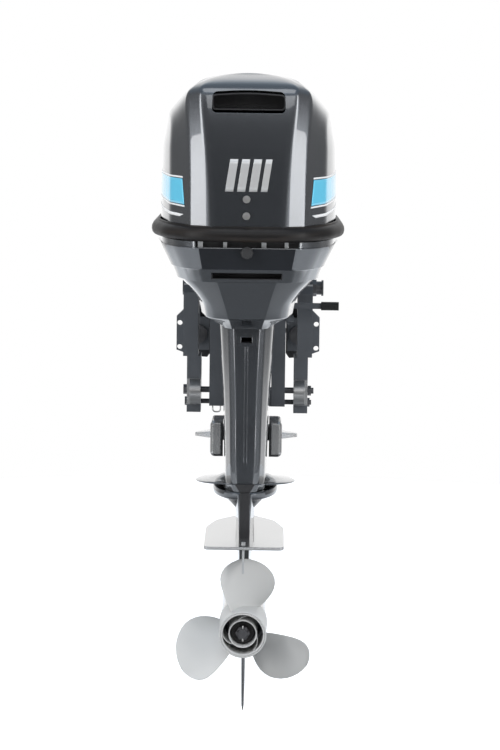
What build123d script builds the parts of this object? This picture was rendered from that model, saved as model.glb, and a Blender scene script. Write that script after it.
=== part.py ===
from build123d import *
import os
from math import atan, atan2, cos, degrees, hypot, pi, radians, sin, tan

# Outboard motor, 50 hp class, short shaft, manual tilt. Millimetres.
# +X starboard, +Y forward (towards the boat), +Z up. The origin is the centre of the four
# transom bolt holes, in the plane of the transom's aft face.

# ---------------------------------------------------------------- driving dimensions
# clearances
RUN = 0.05                   # radial running clearance of a shaft in its bore
GAP = 0.4                    # gap between pieces that move past each other
SEAT = 0.2                   # gap between pieces that are clamped together

# transom and the two clamp brackets
TRANSOM_TOP = 54.0           # top edge of the transom above the bolt centre
BOLT_SPACING_X = 275.0
BOLT_SPACING_Z = 49.0
BOLT_HOLE_R = 5.25
BRACKET_IN = 99.0            # inner and outer faces of a clamp bracket, from the centre plane
BRACKET_OUT = 129.0
BRACKET_DEPTH = 60.0         # aft of the transom
BRACKET_TOP = 106.0
BRACKET_BOTTOM = -149.0
BRACKET_STEP = -36.0         # below this height the bracket steps inwards
BRACKET_STEP_IN = 6.0
BRACKET_STEP_OUT = 8.0
BRACKET_WEB = 9.0
EAR_OUT = 144.0
EAR_HALF = 38.0
EAR_THICK = 10.0
HOOK_REACH = 98.0            # how far the hook reaches forward
JAW_THICK = 24.0
JAW_BOTTOM = -42.0
JAW_IN = 80.0
BRACKET_BOSS_Z = -107.0
BRACKET_BOSS_R = 25.0

# clamp screws
SCREW_X = 103.0
SCREW_Z = -8.0
SCREW_R = 8.0
PAD_R = 19.0
PAD_THICK = 7.0
PAD_REST = 64.0              # rest distance of the pad's face from the transom's aft face
SCREW_HEAD = 20.0            # screw standing forward of the jaw at rest
SCREW_TRAVEL = 28.0
HANDLE_R = 5.0
HANDLE_HALF = 36.0

# tilt and steering axes
TILT_Y = 20.0
TILT_Z = 95.0
TILT_TUBE_R = 11.0
TILT_TUBE_WALL = 3.0
TILT_TUBE_END = 133.0
LUG_WALL = 9.0
STEER_Y = -95.0
STEER_ARM = 84.0             # steering link hole forward of the steering axis
STEER_ARM_HALF = 14.0
STEER_ARM_THICK = 13.0
LINK_HOLE_R = 5.0
SWIVEL_TOP = 57.0
SWIVEL_BOTTOM = -133.0
SWIVEL_TUBE_WALL = 11.0
SWIVEL_LEG_IN = 48.0
SWIVEL_LEG_OUT = 75.5
SWIVEL_LUG_OUT = 92.0
LEG_AFT = -79.0
LEG_THICK = 13.0
PIVOT_R = 14.0
BUSH_WALL = 4.0
TILT_PIN_R = 6.0
TILT_PIN_Y = -52.0
TILT_PIN_Z = -104.0
TIE_Y = -18.0
TIE_Z = -133.0
TIE_R = 5.0
LEVER_Y = -90.0
LEVER_Z = 72.0
LEVER_END = 180.0
LEVER_PIVOT_Y = LEVER_Y + 18.0
LEVER_PIVOT_Z = LEVER_Z - 28.0
LEVER_SHAFT_R = 6.0
LEVER_SEAT_DEEP = 12.0
LEVER_BAR_HALF_Y = 4.0
LEVER_BAR_HALF_Z = 5.5
GRIP_START = 145.0
GRIP_DEEP = 22.0             # how far the bar reaches into the grip
GRIP_HALF = 8.0
LEAD_DROP = 13.0             # how far the earth strap hangs below the swivel bracket
LEAD_R = 1.4

# driveshaft housing and its mounts
SHAFT_Y = -205.0             # crankshaft and driveshaft axis
HOUSING_TOP = 150.0
HOUSING_BOTTOM = -258.0
HOUSING_FRONT = -140.0
HOUSING_AFT = -340.0
HOUSING_WALL = 5.0
MOUNT_X = 34.0
MOUNT_Z = 100.0
MOUNT_R = 16.0
MOUNT_BOLT_R = 6.0
LOWER_MOUNT_R = 9.0
LOWER_BOLT_R = 4.0
COVER_IN = 45.0
COVER_OUT = 70.0
COVER_TOP = -143.0
COVER_BOTTOM = -214.0
FIN_OUT = 100.0
FIN_Z = -172.0
SPLASH_HALF = 97.0
SPLASH_LONG = 98.0
SPLASH_THICK = 4.0
SPLASH_TURN = -3.5           # degrees, aft edge up
SPLASH_Z = -250.0

# cowls
COWL_HALF = 172.0            # greatest half-width, just above the band
COWL_AFT = -464.0
COWL_FRONT = 58.0
COWL_BOTTOM = 240.0
COWL_TOP = 543.0
COWL_WALL = 4.5
BAND_STAND = 13.0
BAND_LOW = 235.0
BAND_HIGH = 262.0
PAN_TOP = 234.0
PAN_BOTTOM = 158.0
PAN_WALL = 4.0
APRON_BOTTOM = 58.0
APRON_WALL = 4.0
COWL_SCREW_Z = (315.0, 284.0)
COWL_SCREW_R = 3.5
COWL_WASHER_R = 8.0
INTAKE_HALF = 65.0
INTAKE_DROP = 61.0            # lower edge of the intake slot below the cowl's top
INTAKE_TALL = 24.0
HANDLE_SLOT_HALF = 66.0
HANDLE_SLOT_LOW = 163.5
HANDLE_SLOT_HIGH = 176.5
LATCH_Z = 218.5
LATCH_R = 11.5

# gearcase
PROP_Z = -518.0              # propeller shaft axis
TORPEDO_R = 45.0
TORPEDO_NOSE = -28.0
TORPEDO_AFT = -312.0
TORPEDO_WALL = 7.0
PLATE_Z = -351.0
PLATE_HALF = 77.5
PLATE_AFT = -425.0
PLATE_FRONT = -105.0
PLATE_THICK = 6.0
SKEG_BOTTOM = -704.0
STRUT_HALF = 15.0
STRUT_FRONT = -70.0
STRUT_AFT = -345.0
CASE_TOP = -259.0

# gears, shafts and propeller
MODULE = 2.6
PINION_TEETH = 13
GEAR_TEETH = 24
FACE_WIDTH = 11.0
DRIVESHAFT_R = 8.0
PROPSHAFT_R = 9.0
CLUTCH_WALL = 8.5
DOG_DEPTH = 3.0
DOG_WIDTH = 30.0             # degrees
DOG_PHASE = 45.0             # degrees, the forward gear's dogs from the reverse gear's
SHIFT_Y = -152.0
SHIFT_R = 5.0
SHIFT_LEVER = 26.0
PROP_R = 140.0
PROP_PITCH = 330.0
HUB_FRONT = -316.0
HUB_AFT = -425.0
HUB_R = 46.0
BLADE_Y = -371.0
IMPELLER_R = 21.0

# powerhead
CYLINDERS = 3
CYLINDER_PITCH = 82.0
BORE_R = 34.0
THROW = 32.0
BLOCK_LOW = 172.0
BLOCK_HALF = 66.0
BLOCK_AFT = -328.0
CRANKCASE_FRONT = -142.0
CRANK_ROOM_R = 50.0
JOURNAL_R = 18.0
HEAD_THICK = 42.0
PLUG_R = 7.0
THROAT_R = 13.0              # carburettor throat
FLYWHEEL_R = 104.0
FLYWHEEL_THICK = 26.0

# worked out from the above
TILT_TUBE_BORE_R = TILT_TUBE_R - TILT_TUBE_WALL
LUG_R = TILT_TUBE_R + LUG_WALL
BUSH_R = PIVOT_R + BUSH_WALL
SWIVEL_TUBE_R = BUSH_R + SWIVEL_TUBE_WALL
TORPEDO_BORE_R = TORPEDO_R - TORPEDO_WALL
CLUTCH_R = PROPSHAFT_R + CLUTCH_WALL
HUB_JOURNAL_R = CLUTCH_R + 0.5
BLOCK_HIGH = BLOCK_LOW + CYLINDERS * CYLINDER_PITCH + 4.0
CYLINDER_Z = [BLOCK_LOW + CYLINDER_PITCH * (n + 0.5) + 2.0 for n in range(CYLINDERS)]
SIDES = {"port": -1, "starboard": 1}

parts = {}


# ---------------------------------------------------------------- simple solids
def block(x, y, z):
    """A box between two values of each coordinate."""
    size = [abs(b - a) for a, b in (x, y, z)]
    middle = [(a + b) / 2 for a, b in (x, y, z)]
    return Pos(*middle) * Box(*size)


def rod_x(x, y, z, radius):
    """A cylinder along X between two values of x."""
    return Pos((x[0] + x[1]) / 2, y, z) * Rot(0, 90, 0) * Cylinder(radius, abs(x[1] - x[0]))


def rod_y(x, y, z, radius):
    """A cylinder along Y between two values of y."""
    return Pos(x, (y[0] + y[1]) / 2, z) * Rot(90, 0, 0) * Cylinder(radius, abs(y[1] - y[0]))


def rod_z(x, y, z, radius):
    """A cylinder along Z between two values of z."""
    return Pos(x, y, (z[0] + z[1]) / 2) * Cylinder(radius, abs(z[1] - z[0]))


def hex_x(x, y, z, radius):
    """A hexagon nut's outline along X."""
    prism = extrude(RegularPolygon(radius, 6), abs(x[1] - x[0]))
    return Pos(min(x), y, z) * Rot(0, 90, 0) * prism


def side_plate(outline, x):
    """A plate between two values of x, from an outline of (y, z) points."""
    face = Plane.YZ * make_face(Polyline(*outline, close=True))
    return Pos(min(x), 0, 0) * extrude(face, abs(x[1] - x[0]))


def spin_y(outline, z):
    """A solid turned about the line x = 0 at height z, from (radius, y) points."""
    face = make_face(Polyline(*[(radius, y, 0) for radius, y in outline], close=True))
    return Pos(0, 0, z) * revolve(face, Axis.Y)


def casing_section(
    z, half, aft, front, aft_flat=0.55, front_flat=0.5, aft_run=0.3, front_run=0.28, round_share=0.3
):
    """One level of a casing: an octagon with round corners, the same on both sides."""
    length = front - aft
    side = [
        (half * aft_flat, aft),
        (half, aft + length * aft_run),
        (half, front - length * front_run),
        (half * front_flat, front),
    ]
    outline = side + [(-x, y) for x, y in reversed(side)]
    face = make_face(Polyline(*outline, close=True))
    face = fillet(face.vertices(), half * round_share)
    return Pos(0, 0, z) * face


def casing(levels, wall=0.0, **shape):
    """A solid through levels of (z, half, aft, front), drawn in by a wall."""
    inner = [(z, half - wall, aft + wall, front - wall) for z, half, aft, front in levels]
    return loft([casing_section(*level, **shape) for level in inner], ruled=True)


def at_level(levels, z):
    """Half-width, aft and front of a casing at a height between two of its levels."""
    for low, high in zip(levels, levels[1:]):
        bottom, top = sorted((low, high))
        if bottom[0] <= z <= top[0]:
            share = (z - bottom[0]) / (top[0] - bottom[0])
            return [a + (b - a) * share for a, b in zip(bottom[1:], top[1:])]
    raise ValueError("height outside the casing")


# ---------------------------------------------------------------- clamp brackets
def clamp_bracket(side):
    """A hook over the transom, with a channel section aft, bolt ears and a jaw for the screw."""
    low_in = BRACKET_IN - BRACKET_STEP_IN
    low_out = BRACKET_OUT - BRACKET_STEP_OUT
    upper = side_plate(
        [
            (-BRACKET_DEPTH, BRACKET_STEP),
            (0, BRACKET_STEP),
            (0, BRACKET_TOP - 2),
            (-BRACKET_DEPTH + 14, BRACKET_TOP),
            (-BRACKET_DEPTH, BRACKET_TOP - 14),
        ],
        (BRACKET_IN, BRACKET_OUT),
    )
    lower = side_plate(
        [
            (-BRACKET_DEPTH, BRACKET_STEP),
            (0, BRACKET_STEP),
            (0, BRACKET_BOTTOM + 30),
            (-22, BRACKET_BOTTOM),
            (-BRACKET_DEPTH, BRACKET_BOTTOM),
        ],
        (low_in, low_out),
    )
    pocket_y = (-BRACKET_DEPTH + BRACKET_WEB, -EAR_THICK)
    upper_pocket_z = (BRACKET_STEP + 8, TRANSOM_TOP - 6)
    upper -= block((BRACKET_IN - 1, BRACKET_OUT - BRACKET_WEB), pocket_y, upper_pocket_z)
    lower_pocket_z = (BRACKET_BOSS_Z + BRACKET_BOSS_R, BRACKET_STEP - 8)
    lower -= block((low_in - 1, low_out - BRACKET_WEB), pocket_y, lower_pocket_z)
    boss = rod_x((low_in, low_out - 6), -BRACKET_DEPTH, BRACKET_BOSS_Z, BRACKET_BOSS_R)
    hook = side_plate(
        [
            (-1, TRANSOM_TOP + 2),
            (HOOK_REACH - JAW_THICK, TRANSOM_TOP + 2),
            (HOOK_REACH - JAW_THICK, JAW_BOTTOM),
            (HOOK_REACH - 6, JAW_BOTTOM),
            (HOOK_REACH, JAW_BOTTOM + 12),
            (HOOK_REACH, TRANSOM_TOP - 8),
            (TILT_Y + LUG_R + 14, TRANSOM_TOP + 26),
            (TILT_Y + LUG_R, TILT_Z),
            (-1, BRACKET_TOP - 2),
        ],
        (BRACKET_IN, BRACKET_OUT - 6),
    )
    jaw_y = (HOOK_REACH - JAW_THICK, HOOK_REACH - 6)
    jaw = block((JAW_IN, BRACKET_OUT - 6), jaw_y, (JAW_BOTTOM, SCREW_Z + 34))
    tube_boss = rod_x((BRACKET_IN, BRACKET_OUT), TILT_Y, TILT_Z, LUG_R - 3)
    ear = bolt_ear()
    bracket = upper + lower + boss + hook + jaw + tube_boss + ear
    bracket -= rod_x((JAW_IN, BRACKET_OUT + 10), TILT_Y, TILT_Z, TILT_TUBE_R)
    bracket -= rod_y(SCREW_X, (0, HOOK_REACH + 1), SCREW_Z, SCREW_R + RUN)
    bracket -= rod_x((low_in - 9, low_out + 9), TILT_PIN_Y, TILT_PIN_Z, TILT_PIN_R)
    bracket -= rod_x((low_in - 9, low_out + 9), TIE_Y, TIE_Z, TIE_R)
    for sign in (-1, 1):
        bolt_z = sign * BOLT_SPACING_Z / 2
        bracket -= rod_y(BOLT_SPACING_X / 2, (-EAR_THICK - 1, 1), bolt_z, BOLT_HOLE_R)
    return bracket if side > 0 else mirror(bracket, Plane.YZ)


def bolt_ear():
    """The flange with the two bolt holes, outboard of the bracket."""
    outline = [
        (BRACKET_OUT - 12, EAR_HALF + 16),
        (BRACKET_OUT - 1, EAR_HALF + 16),
        (EAR_OUT, EAR_HALF),
        (EAR_OUT, -EAR_HALF + 8),
        (BRACKET_OUT - 1, -EAR_HALF + 2),
        (BRACKET_OUT - 12, -EAR_HALF + 2),
    ]
    face = make_face(Polyline(*outline, close=True))
    return extrude(Plane.XZ * face, EAR_THICK)


def tilt_hardware():
    """Tilt tube with its nut and cable cap, the tilt pin and the lower tie bolt."""
    tube = rod_x((-TILT_TUBE_END, TILT_TUBE_END + 8), TILT_Y, TILT_Z, TILT_TUBE_R)
    tube -= rod_x((-TILT_TUBE_END - 1, TILT_TUBE_END + 9), TILT_Y, TILT_Z, TILT_TUBE_BORE_R)
    parts["tilt_tube"] = tube
    nut = hex_x((-TILT_TUBE_END, -BRACKET_OUT - SEAT), TILT_Y, TILT_Z, TILT_TUBE_R + 6)
    parts["tilt_tube_nut"] = nut - rod_x((-TILT_TUBE_END - 1, -BRACKET_OUT), TILT_Y, TILT_Z, TILT_TUBE_R)
    cap = hex_x((BRACKET_OUT + SEAT, TILT_TUBE_END + 4), TILT_Y, TILT_Z, TILT_TUBE_R + 6)
    cap += rod_x((TILT_TUBE_END + 4, TILT_TUBE_END + 14), TILT_Y, TILT_Z, TILT_TUBE_R + 2.5)
    cap += rod_x((TILT_TUBE_END + 14, TILT_TUBE_END + 18), TILT_Y, TILT_Z, TILT_TUBE_R + 5)
    cap -= rod_x((BRACKET_OUT, TILT_TUBE_END + 8), TILT_Y, TILT_Z, TILT_TUBE_R)
    cap -= rod_x((BRACKET_OUT, TILT_TUBE_END + 20), TILT_Y, TILT_Z, TILT_TUBE_BORE_R)
    parts["steering_cable_cap"] = cap

    bolt_faces = BRACKET_OUT - BRACKET_STEP_OUT
    pin = rod_x((-bolt_faces - 5, bolt_faces + 12), TILT_PIN_Y, TILT_PIN_Z, TILT_PIN_R)
    pin += hex_x((-bolt_faces - 7, -bolt_faces - SEAT), TILT_PIN_Y, TILT_PIN_Z, TILT_PIN_R + 4)
    pin += hex_x((bolt_faces + SEAT, bolt_faces + 7), TILT_PIN_Y, TILT_PIN_Z, TILT_PIN_R + 4)
    parts["tilt_pin"] = pin
    bolt = rod_x((-bolt_faces - 3, bolt_faces + 8), TIE_Y, TIE_Z, TIE_R)
    bolt += hex_x((-bolt_faces - 5, -bolt_faces - SEAT), TIE_Y, TIE_Z, TIE_R + 4)
    bolt += hex_x((bolt_faces + SEAT, bolt_faces + 5), TIE_Y, TIE_Z, TIE_R + 4)
    parts["tie_bolt"] = bolt


def clamp_screw(side, name):
    """Pressure pad, screw and turning handle on one side, with the pad drawn back."""
    x = side * SCREW_X
    pad_back = PAD_REST + PAD_THICK
    screw_end = HOOK_REACH + SCREW_HEAD + SCREW_TRAVEL
    pad = rod_y(x, (PAD_REST, pad_back), SCREW_Z, PAD_R)
    pad -= rod_y(x, (PAD_REST + 3, pad_back + 1), SCREW_Z, SCREW_R + RUN)
    parts["clamp_pad_" + name] = pad
    screw = rod_y(x, (PAD_REST + 3 + SEAT, screw_end), SCREW_Z, SCREW_R)
    screw += rod_y(x, (screw_end - 18, screw_end), SCREW_Z, SCREW_R + 4)
    hole_y = screw_end - 9
    screw -= rod_x((x - HANDLE_HALF, x + HANDLE_HALF), hole_y, SCREW_Z, HANDLE_R)
    parts["clamp_screw_" + name] = screw
    handle = rod_x((x - HANDLE_HALF, x + HANDLE_HALF), hole_y, SCREW_Z, HANDLE_R)
    for end in (-1, 1):
        handle += Pos(x + end * HANDLE_HALF, hole_y, SCREW_Z) * Sphere(HANDLE_R + 2)
    parts["clamp_handle_" + name] = handle


# ---------------------------------------------------------------- swivel bracket
def swivel_bracket():
    """The casting that tilts about the tube and carries the steering pivot."""
    body = rod_z(0, STEER_Y, (SWIVEL_BOTTOM + 5, SWIVEL_TOP), SWIVEL_TUBE_R)
    leg_y = (LEG_AFT, LEG_AFT + LEG_THICK)
    for sign in (-1, 1):
        leg_x = sorted((sign * SWIVEL_LEG_IN, sign * SWIVEL_LEG_OUT))
        body += block(leg_x, leg_y, (SWIVEL_BOTTOM, SWIVEL_TOP))
        cheek_x = sorted((sign * (SWIVEL_LEG_OUT - 12), sign * SWIVEL_LEG_OUT))
        cheek = [
            (LEG_AFT, SWIVEL_BOTTOM + 4),
            (TILT_PIN_Y - TILT_PIN_R - GAP - 4, SWIVEL_BOTTOM + 4),
            (TILT_PIN_Y - TILT_PIN_R - GAP - 4, TILT_PIN_Z + 20),
            (-20, 0),
            (TILT_Y - LUG_R + 4, SWIVEL_TOP),
            (LEG_AFT, SWIVEL_TOP),
        ]
        body += side_plate(cheek, cheek_x)
        lug_x = sorted((sign * (SWIVEL_LEG_OUT - 12), sign * SWIVEL_LUG_OUT))
        body += rod_x(lug_x, TILT_Y, TILT_Z, LUG_R)
        rise = [
            (TILT_Y - LUG_R + 4, SWIVEL_TOP - 22),
            (TILT_Y + 6, SWIVEL_TOP - 4),
            (TILT_Y + LUG_R - 1, TILT_Z),
            (TILT_Y - LUG_R + 1, TILT_Z),
        ]
        body += side_plate(rise, cheek_x)
    for bridge_z in ((SWIVEL_TOP - 40, SWIVEL_TOP - 4), (SWIVEL_BOTTOM, SWIVEL_BOTTOM + 34)):
        body += block((-SWIVEL_LEG_OUT, SWIVEL_LEG_OUT), (LEG_AFT + 1, LEG_AFT + 10), bridge_z)
    body -= rod_x((-SWIVEL_LUG_OUT - 1, SWIVEL_LUG_OUT + 1), TILT_Y, TILT_Z, TILT_TUBE_R + RUN)
    body -= rod_z(0, STEER_Y, (SWIVEL_BOTTOM - 1, SWIVEL_TOP + 1), PIVOT_R + 1.5)
    for low, high in bush_heights():
        body -= rod_z(0, STEER_Y, (low, high), BUSH_R)
    lever_hole_x = (SWIVEL_LEG_OUT - LEVER_SEAT_DEEP - 0.5, SWIVEL_LEG_OUT + 1)
    body -= rod_x(lever_hole_x, LEVER_PIVOT_Y, LEVER_PIVOT_Z, LEVER_SHAFT_R + RUN)
    parts["swivel_bracket"] = body
    bushes = [
        rod_z(0, STEER_Y, (low, high), BUSH_R) - rod_z(0, STEER_Y, (low - 1, high + 1), PIVOT_R + RUN)
        for low, high in bush_heights()
    ]
    parts["steering_bushes"] = Compound(children=bushes)


def bush_heights():
    """Lower and upper steering bushes."""
    return [(SWIVEL_BOTTOM + 5, SWIVEL_BOTTOM + 35), (SWIVEL_TOP - 30, SWIVEL_TOP)]


def bonding_lead():
    """The short earth strap looped under the port leg of the swivel bracket."""
    top = SWIVEL_BOTTOM
    y = LEG_AFT + LEG_THICK / 2
    left = -SWIVEL_LEG_OUT + 7
    right = -SWIVEL_LEG_IN - 5
    low = top - LEAD_DROP
    route = FilletPolyline((left, y, top), (left, y, low), (right, y, low), (right, y, top), radius=6)
    section = Plane(origin=(left, y, top), z_dir=(0, 0, -1)) * Circle(LEAD_R)
    parts["bonding_lead"] = sweep(section, path=route)


def tilt_lever():
    """The tilt lock lever on the starboard side of the swivel bracket, with its rubber grip."""
    shaft_x = (SWIVEL_LEG_OUT - LEVER_SEAT_DEEP, SWIVEL_LEG_OUT + 16)
    web_x = (SWIVEL_LEG_OUT + GAP, SWIVEL_LEG_OUT + 8)
    arm = rod_x(shaft_x, LEVER_PIVOT_Y, LEVER_PIVOT_Z, LEVER_SHAFT_R)
    arm += rod_x(web_x, LEVER_PIVOT_Y, LEVER_PIVOT_Z, LEVER_SHAFT_R + 5)
    arm += side_plate(
        [
            (LEVER_PIVOT_Y - 11, LEVER_PIVOT_Z),
            (LEVER_PIVOT_Y + 6, LEVER_PIVOT_Z + 2),
            (LEVER_Y + 6, LEVER_Z + 5.5),
            (LEVER_Y - 6, LEVER_Z + 5.5),
            (LEVER_Y - 6, LEVER_Z - 6),
        ],
        web_x,
    )
    bar_y = (LEVER_Y - LEVER_BAR_HALF_Y, LEVER_Y + LEVER_BAR_HALF_Y)
    bar_z = (LEVER_Z - LEVER_BAR_HALF_Z, LEVER_Z + LEVER_BAR_HALF_Z)
    arm += block((SWIVEL_LEG_OUT + 4, GRIP_START + GRIP_DEEP), bar_y, bar_z)
    parts["tilt_lever"] = arm
    grip_y = (LEVER_Y - GRIP_HALF, LEVER_Y + GRIP_HALF)
    grip = block((GRIP_START, LEVER_END), grip_y, (LEVER_Z - GRIP_HALF, LEVER_Z + GRIP_HALF))
    grip = fillet(grip.edges().filter_by(Axis.X), GRIP_HALF / 2)
    grip -= block((GRIP_START - 1, GRIP_START + GRIP_DEEP), bar_y, bar_z)
    parts["tilt_lever_grip"] = grip


# ---------------------------------------------------------------- steering bracket and mounts
def steering_bracket():
    """Pivot shaft, arms to the upper mounts, and the steering arm forward."""
    low = SWIVEL_TOP + GAP + 4
    high = low + STEER_ARM_THICK
    body = rod_z(0, STEER_Y, (COVER_BOTTOM, high), PIVOT_R)
    body += rod_z(0, STEER_Y, (low, high), SWIVEL_TUBE_R + 5)
    body += rod_z(0, STEER_Y, (SWIVEL_TOP + GAP, low), PIVOT_R + 6)
    link_y = STEER_Y + STEER_ARM
    body += block((-STEER_ARM_HALF, STEER_ARM_HALF), (STEER_Y, link_y), (low, high))
    body += rod_z(0, link_y, (low, high), STEER_ARM_HALF)
    body -= rod_z(0, link_y, (low - 1, high + 1), LINK_HOLE_R)
    for sign in (-1, 1):
        reach = sorted((sign * (MOUNT_X - 17), sign * (MOUNT_X + 17)))
        body += block(reach, (HOUSING_FRONT + 2, STEER_Y), (low, high))
        body += block(reach, (HOUSING_FRONT + 2, HOUSING_FRONT + 16), (low, MOUNT_Z + 16))
        body += rod_y(sign * MOUNT_X, (HOUSING_FRONT - 22, HOUSING_FRONT + 3), MOUNT_Z, MOUNT_BOLT_R)
    parts["steering_bracket"] = body

    rubber = []
    for sign in (-1, 1):
        ring = rod_y(sign * MOUNT_X, (HOUSING_FRONT - 24, HOUSING_FRONT + 2), MOUNT_Z, MOUNT_R)
        hole = rod_y(sign * MOUNT_X, (HOUSING_FRONT - 25, HOUSING_FRONT + 3), MOUNT_Z, MOUNT_BOLT_R)
        rubber.append(ring - hole)
    parts["upper_mounts"] = Compound(children=rubber)


def lower_mounts():
    """The bracket on the pivot's lower end, its two rubbers and their covers on the housing."""
    mid_z = (COVER_TOP + COVER_BOTTOM) / 2
    bar_y = (HOUSING_FRONT + 6, STEER_Y - 8)
    rubber_x = (COVER_IN + COVER_OUT) / 2 - 1
    bracket = rod_z(0, STEER_Y, (COVER_BOTTOM, COVER_TOP), PIVOT_R + 12)
    bracket += block((-rubber_x - 8, rubber_x + 8), bar_y, (mid_z - 14, mid_z + 14))
    bracket -= rod_z(0, STEER_Y, (COVER_BOTTOM - 1, COVER_TOP + 1), PIVOT_R)
    rubbers = []
    for sign in (-1, 1):
        bracket += rod_y(sign * rubber_x, (HOUSING_FRONT - 48, bar_y[1]), mid_z, LOWER_BOLT_R)
        rubber = rod_y(sign * rubber_x, (HOUSING_FRONT - 50, HOUSING_FRONT + 5.5), mid_z, LOWER_MOUNT_R)
        hole = rod_y(sign * rubber_x, (HOUSING_FRONT - 51, HOUSING_FRONT + 7), mid_z, LOWER_BOLT_R)
        rubbers.append(rubber - hole)
    parts["lower_mount_bracket"] = bracket
    parts["lower_mounts"] = Compound(children=rubbers)
    for name, side in SIDES.items():
        cover_y = (HOUSING_FRONT - 62, HOUSING_FRONT + 6)
        cover = block((COVER_IN, COVER_OUT), cover_y, (COVER_BOTTOM, COVER_TOP))
        cover = fillet(cover.edges().filter_by(Axis.Y).group_by(Axis.X)[-1], 9)
        cover = chamfer(cover.edges().group_by(Axis.Y)[0], 5)
        fin_outline = [
            (HOUSING_FRONT - 56, FIN_Z - 6),
            (HOUSING_FRONT - 4, FIN_Z - 4),
            (HOUSING_FRONT - 8, FIN_Z + 4),
            (HOUSING_FRONT - 50, FIN_Z + 6),
        ]
        root = Plane.YZ.offset(COVER_OUT - 2) * make_face(Polyline(*fin_outline, close=True))
        tip_y = HOUSING_FRONT - 40
        tip_outline = [(tip_y + (y - tip_y) * 0.35, (z + FIN_Z - 1) / 2) for y, z in fin_outline]
        tip = Plane.YZ.offset(FIN_OUT) * make_face(Polyline(*tip_outline, close=True))
        cover += loft([root, tip], ruled=True)
        cover -= rod_y(rubber_x, (HOUSING_FRONT - 50, HOUSING_FRONT + 7), mid_z, LOWER_MOUNT_R)
        parts["lower_mount_cover_" + name] = cover if side > 0 else mirror(cover, Plane.YZ)


# ---------------------------------------------------------------- driveshaft housing and apron
HOUSING_LEVELS = [
    (HOUSING_BOTTOM, 41.0, HOUSING_AFT, HOUSING_FRONT - 2),
    (-190.0, 42.0, HOUSING_AFT + 2, HOUSING_FRONT - 2),
    (-120.0, 44.0, HOUSING_AFT + 3, HOUSING_FRONT - 1),
    (-10.0, 50.0, HOUSING_AFT + 1, HOUSING_FRONT),
    (56.0, 54.0, HOUSING_AFT, HOUSING_FRONT),
    (HOUSING_TOP, 62.0, HOUSING_AFT + 4, HOUSING_FRONT),
]
HOUSING_SHAPE = {
    "aft_flat": 0.5,
    "front_flat": 0.86,
    "aft_run": 0.42,
    "front_run": 0.06,
    "round_share": 0.1,
}


def driveshaft_housing():
    """The hollow leg, with the splash plate at its foot and seats for the upper mounts."""
    outer = casing(HOUSING_LEVELS, **HOUSING_SHAPE)
    room = [(HOUSING_BOTTOM - 1, *HOUSING_LEVELS[0][1:])] + HOUSING_LEVELS[1:-1]
    room.append((HOUSING_TOP + 1, *HOUSING_LEVELS[-1][1:]))
    housing = outer - casing(room, wall=HOUSING_WALL, **HOUSING_SHAPE)
    splash = extrude(Ellipse(SPLASH_HALF, SPLASH_LONG), SPLASH_THICK)
    middle = (HOUSING_AFT + HOUSING_FRONT) / 2
    splash = Pos(0, middle, SPLASH_Z - SPLASH_THICK / 2) * Rot(SPLASH_TURN, 0, 0) * splash
    hull = casing(HOUSING_LEVELS, wall=1.0, **HOUSING_SHAPE)
    housing += splash - hull
    for sign in (-1, 1):
        boss = rod_y(sign * MOUNT_X, (HOUSING_FRONT - 30, HOUSING_FRONT - 2), MOUNT_Z, MOUNT_R + 5)
        housing += boss
        housing -= rod_y(sign * MOUNT_X, (HOUSING_FRONT - 24, HOUSING_FRONT + 3), MOUNT_Z, MOUNT_R)
        housing -= block(sorted((sign * 62, sign * 90)), (HOUSING_FRONT - 30, HOUSING_FRONT + 1), (60, 130))
    housing -= block((-10, 10), (HOUSING_AFT - 9, HOUSING_AFT + 20), (31, 41))
    parts["driveshaft_housing"] = housing


APRON_LEVELS = [
    (APRON_BOTTOM, 50.0, -352.0, -205.0),
    (72.0, 64.0, -368.0, -200.0),
    (81.0, 88.0, -392.0, -197.0),
    (106.0, 92.5, -402.0, -195.0),
    (126.0, 106.0, -415.0, -185.0),
    (142.0, 122.0, -428.0, -178.0),
    (PAN_BOTTOM - 1.0, 136.0, -438.0, -172.0),
]
APRON_SHAPE = {
    "aft_flat": 0.5,
    "front_flat": 0.9,
    "aft_run": 0.45,
    "front_run": 0.06,
    "round_share": 0.07,
}


def apron():
    """The skirt that closes the space between the bottom cowl and the leg, open forward."""
    skirt = casing(APRON_LEVELS, **APRON_SHAPE)
    inside = [(z, half, aft, front + 2 * APRON_WALL + 12) for z, half, aft, front in APRON_LEVELS]
    inside[-1] = (PAN_BOTTOM + 1.0, *inside[-1][1:])
    skirt -= casing(inside, wall=APRON_WALL, **APRON_SHAPE)
    skirt -= casing(HOUSING_LEVELS, wall=-SEAT, **HOUSING_SHAPE)
    parts["apron"] = max(skirt.solids(), key=lambda solid: solid.volume)


# ---------------------------------------------------------------- bottom cowl
PAN_LEVELS = [
    (PAN_BOTTOM, COWL_HALF - 31, COWL_AFT + 26, COWL_FRONT - 40),
    (PAN_BOTTOM + 23, COWL_HALF - 19, COWL_AFT + 11, COWL_FRONT - 18),
    (PAN_TOP, COWL_HALF - 2, COWL_AFT + 1, COWL_FRONT - 2),
]
PANEL_LOW = 183.0
PANEL_HIGH = 223.0
PANEL_HALF_LOW = 83.0
PANEL_HALF_HIGH = 90.0
PANEL_DEEP = 3.0
LATCH_STEM_R = 5.0


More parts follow.
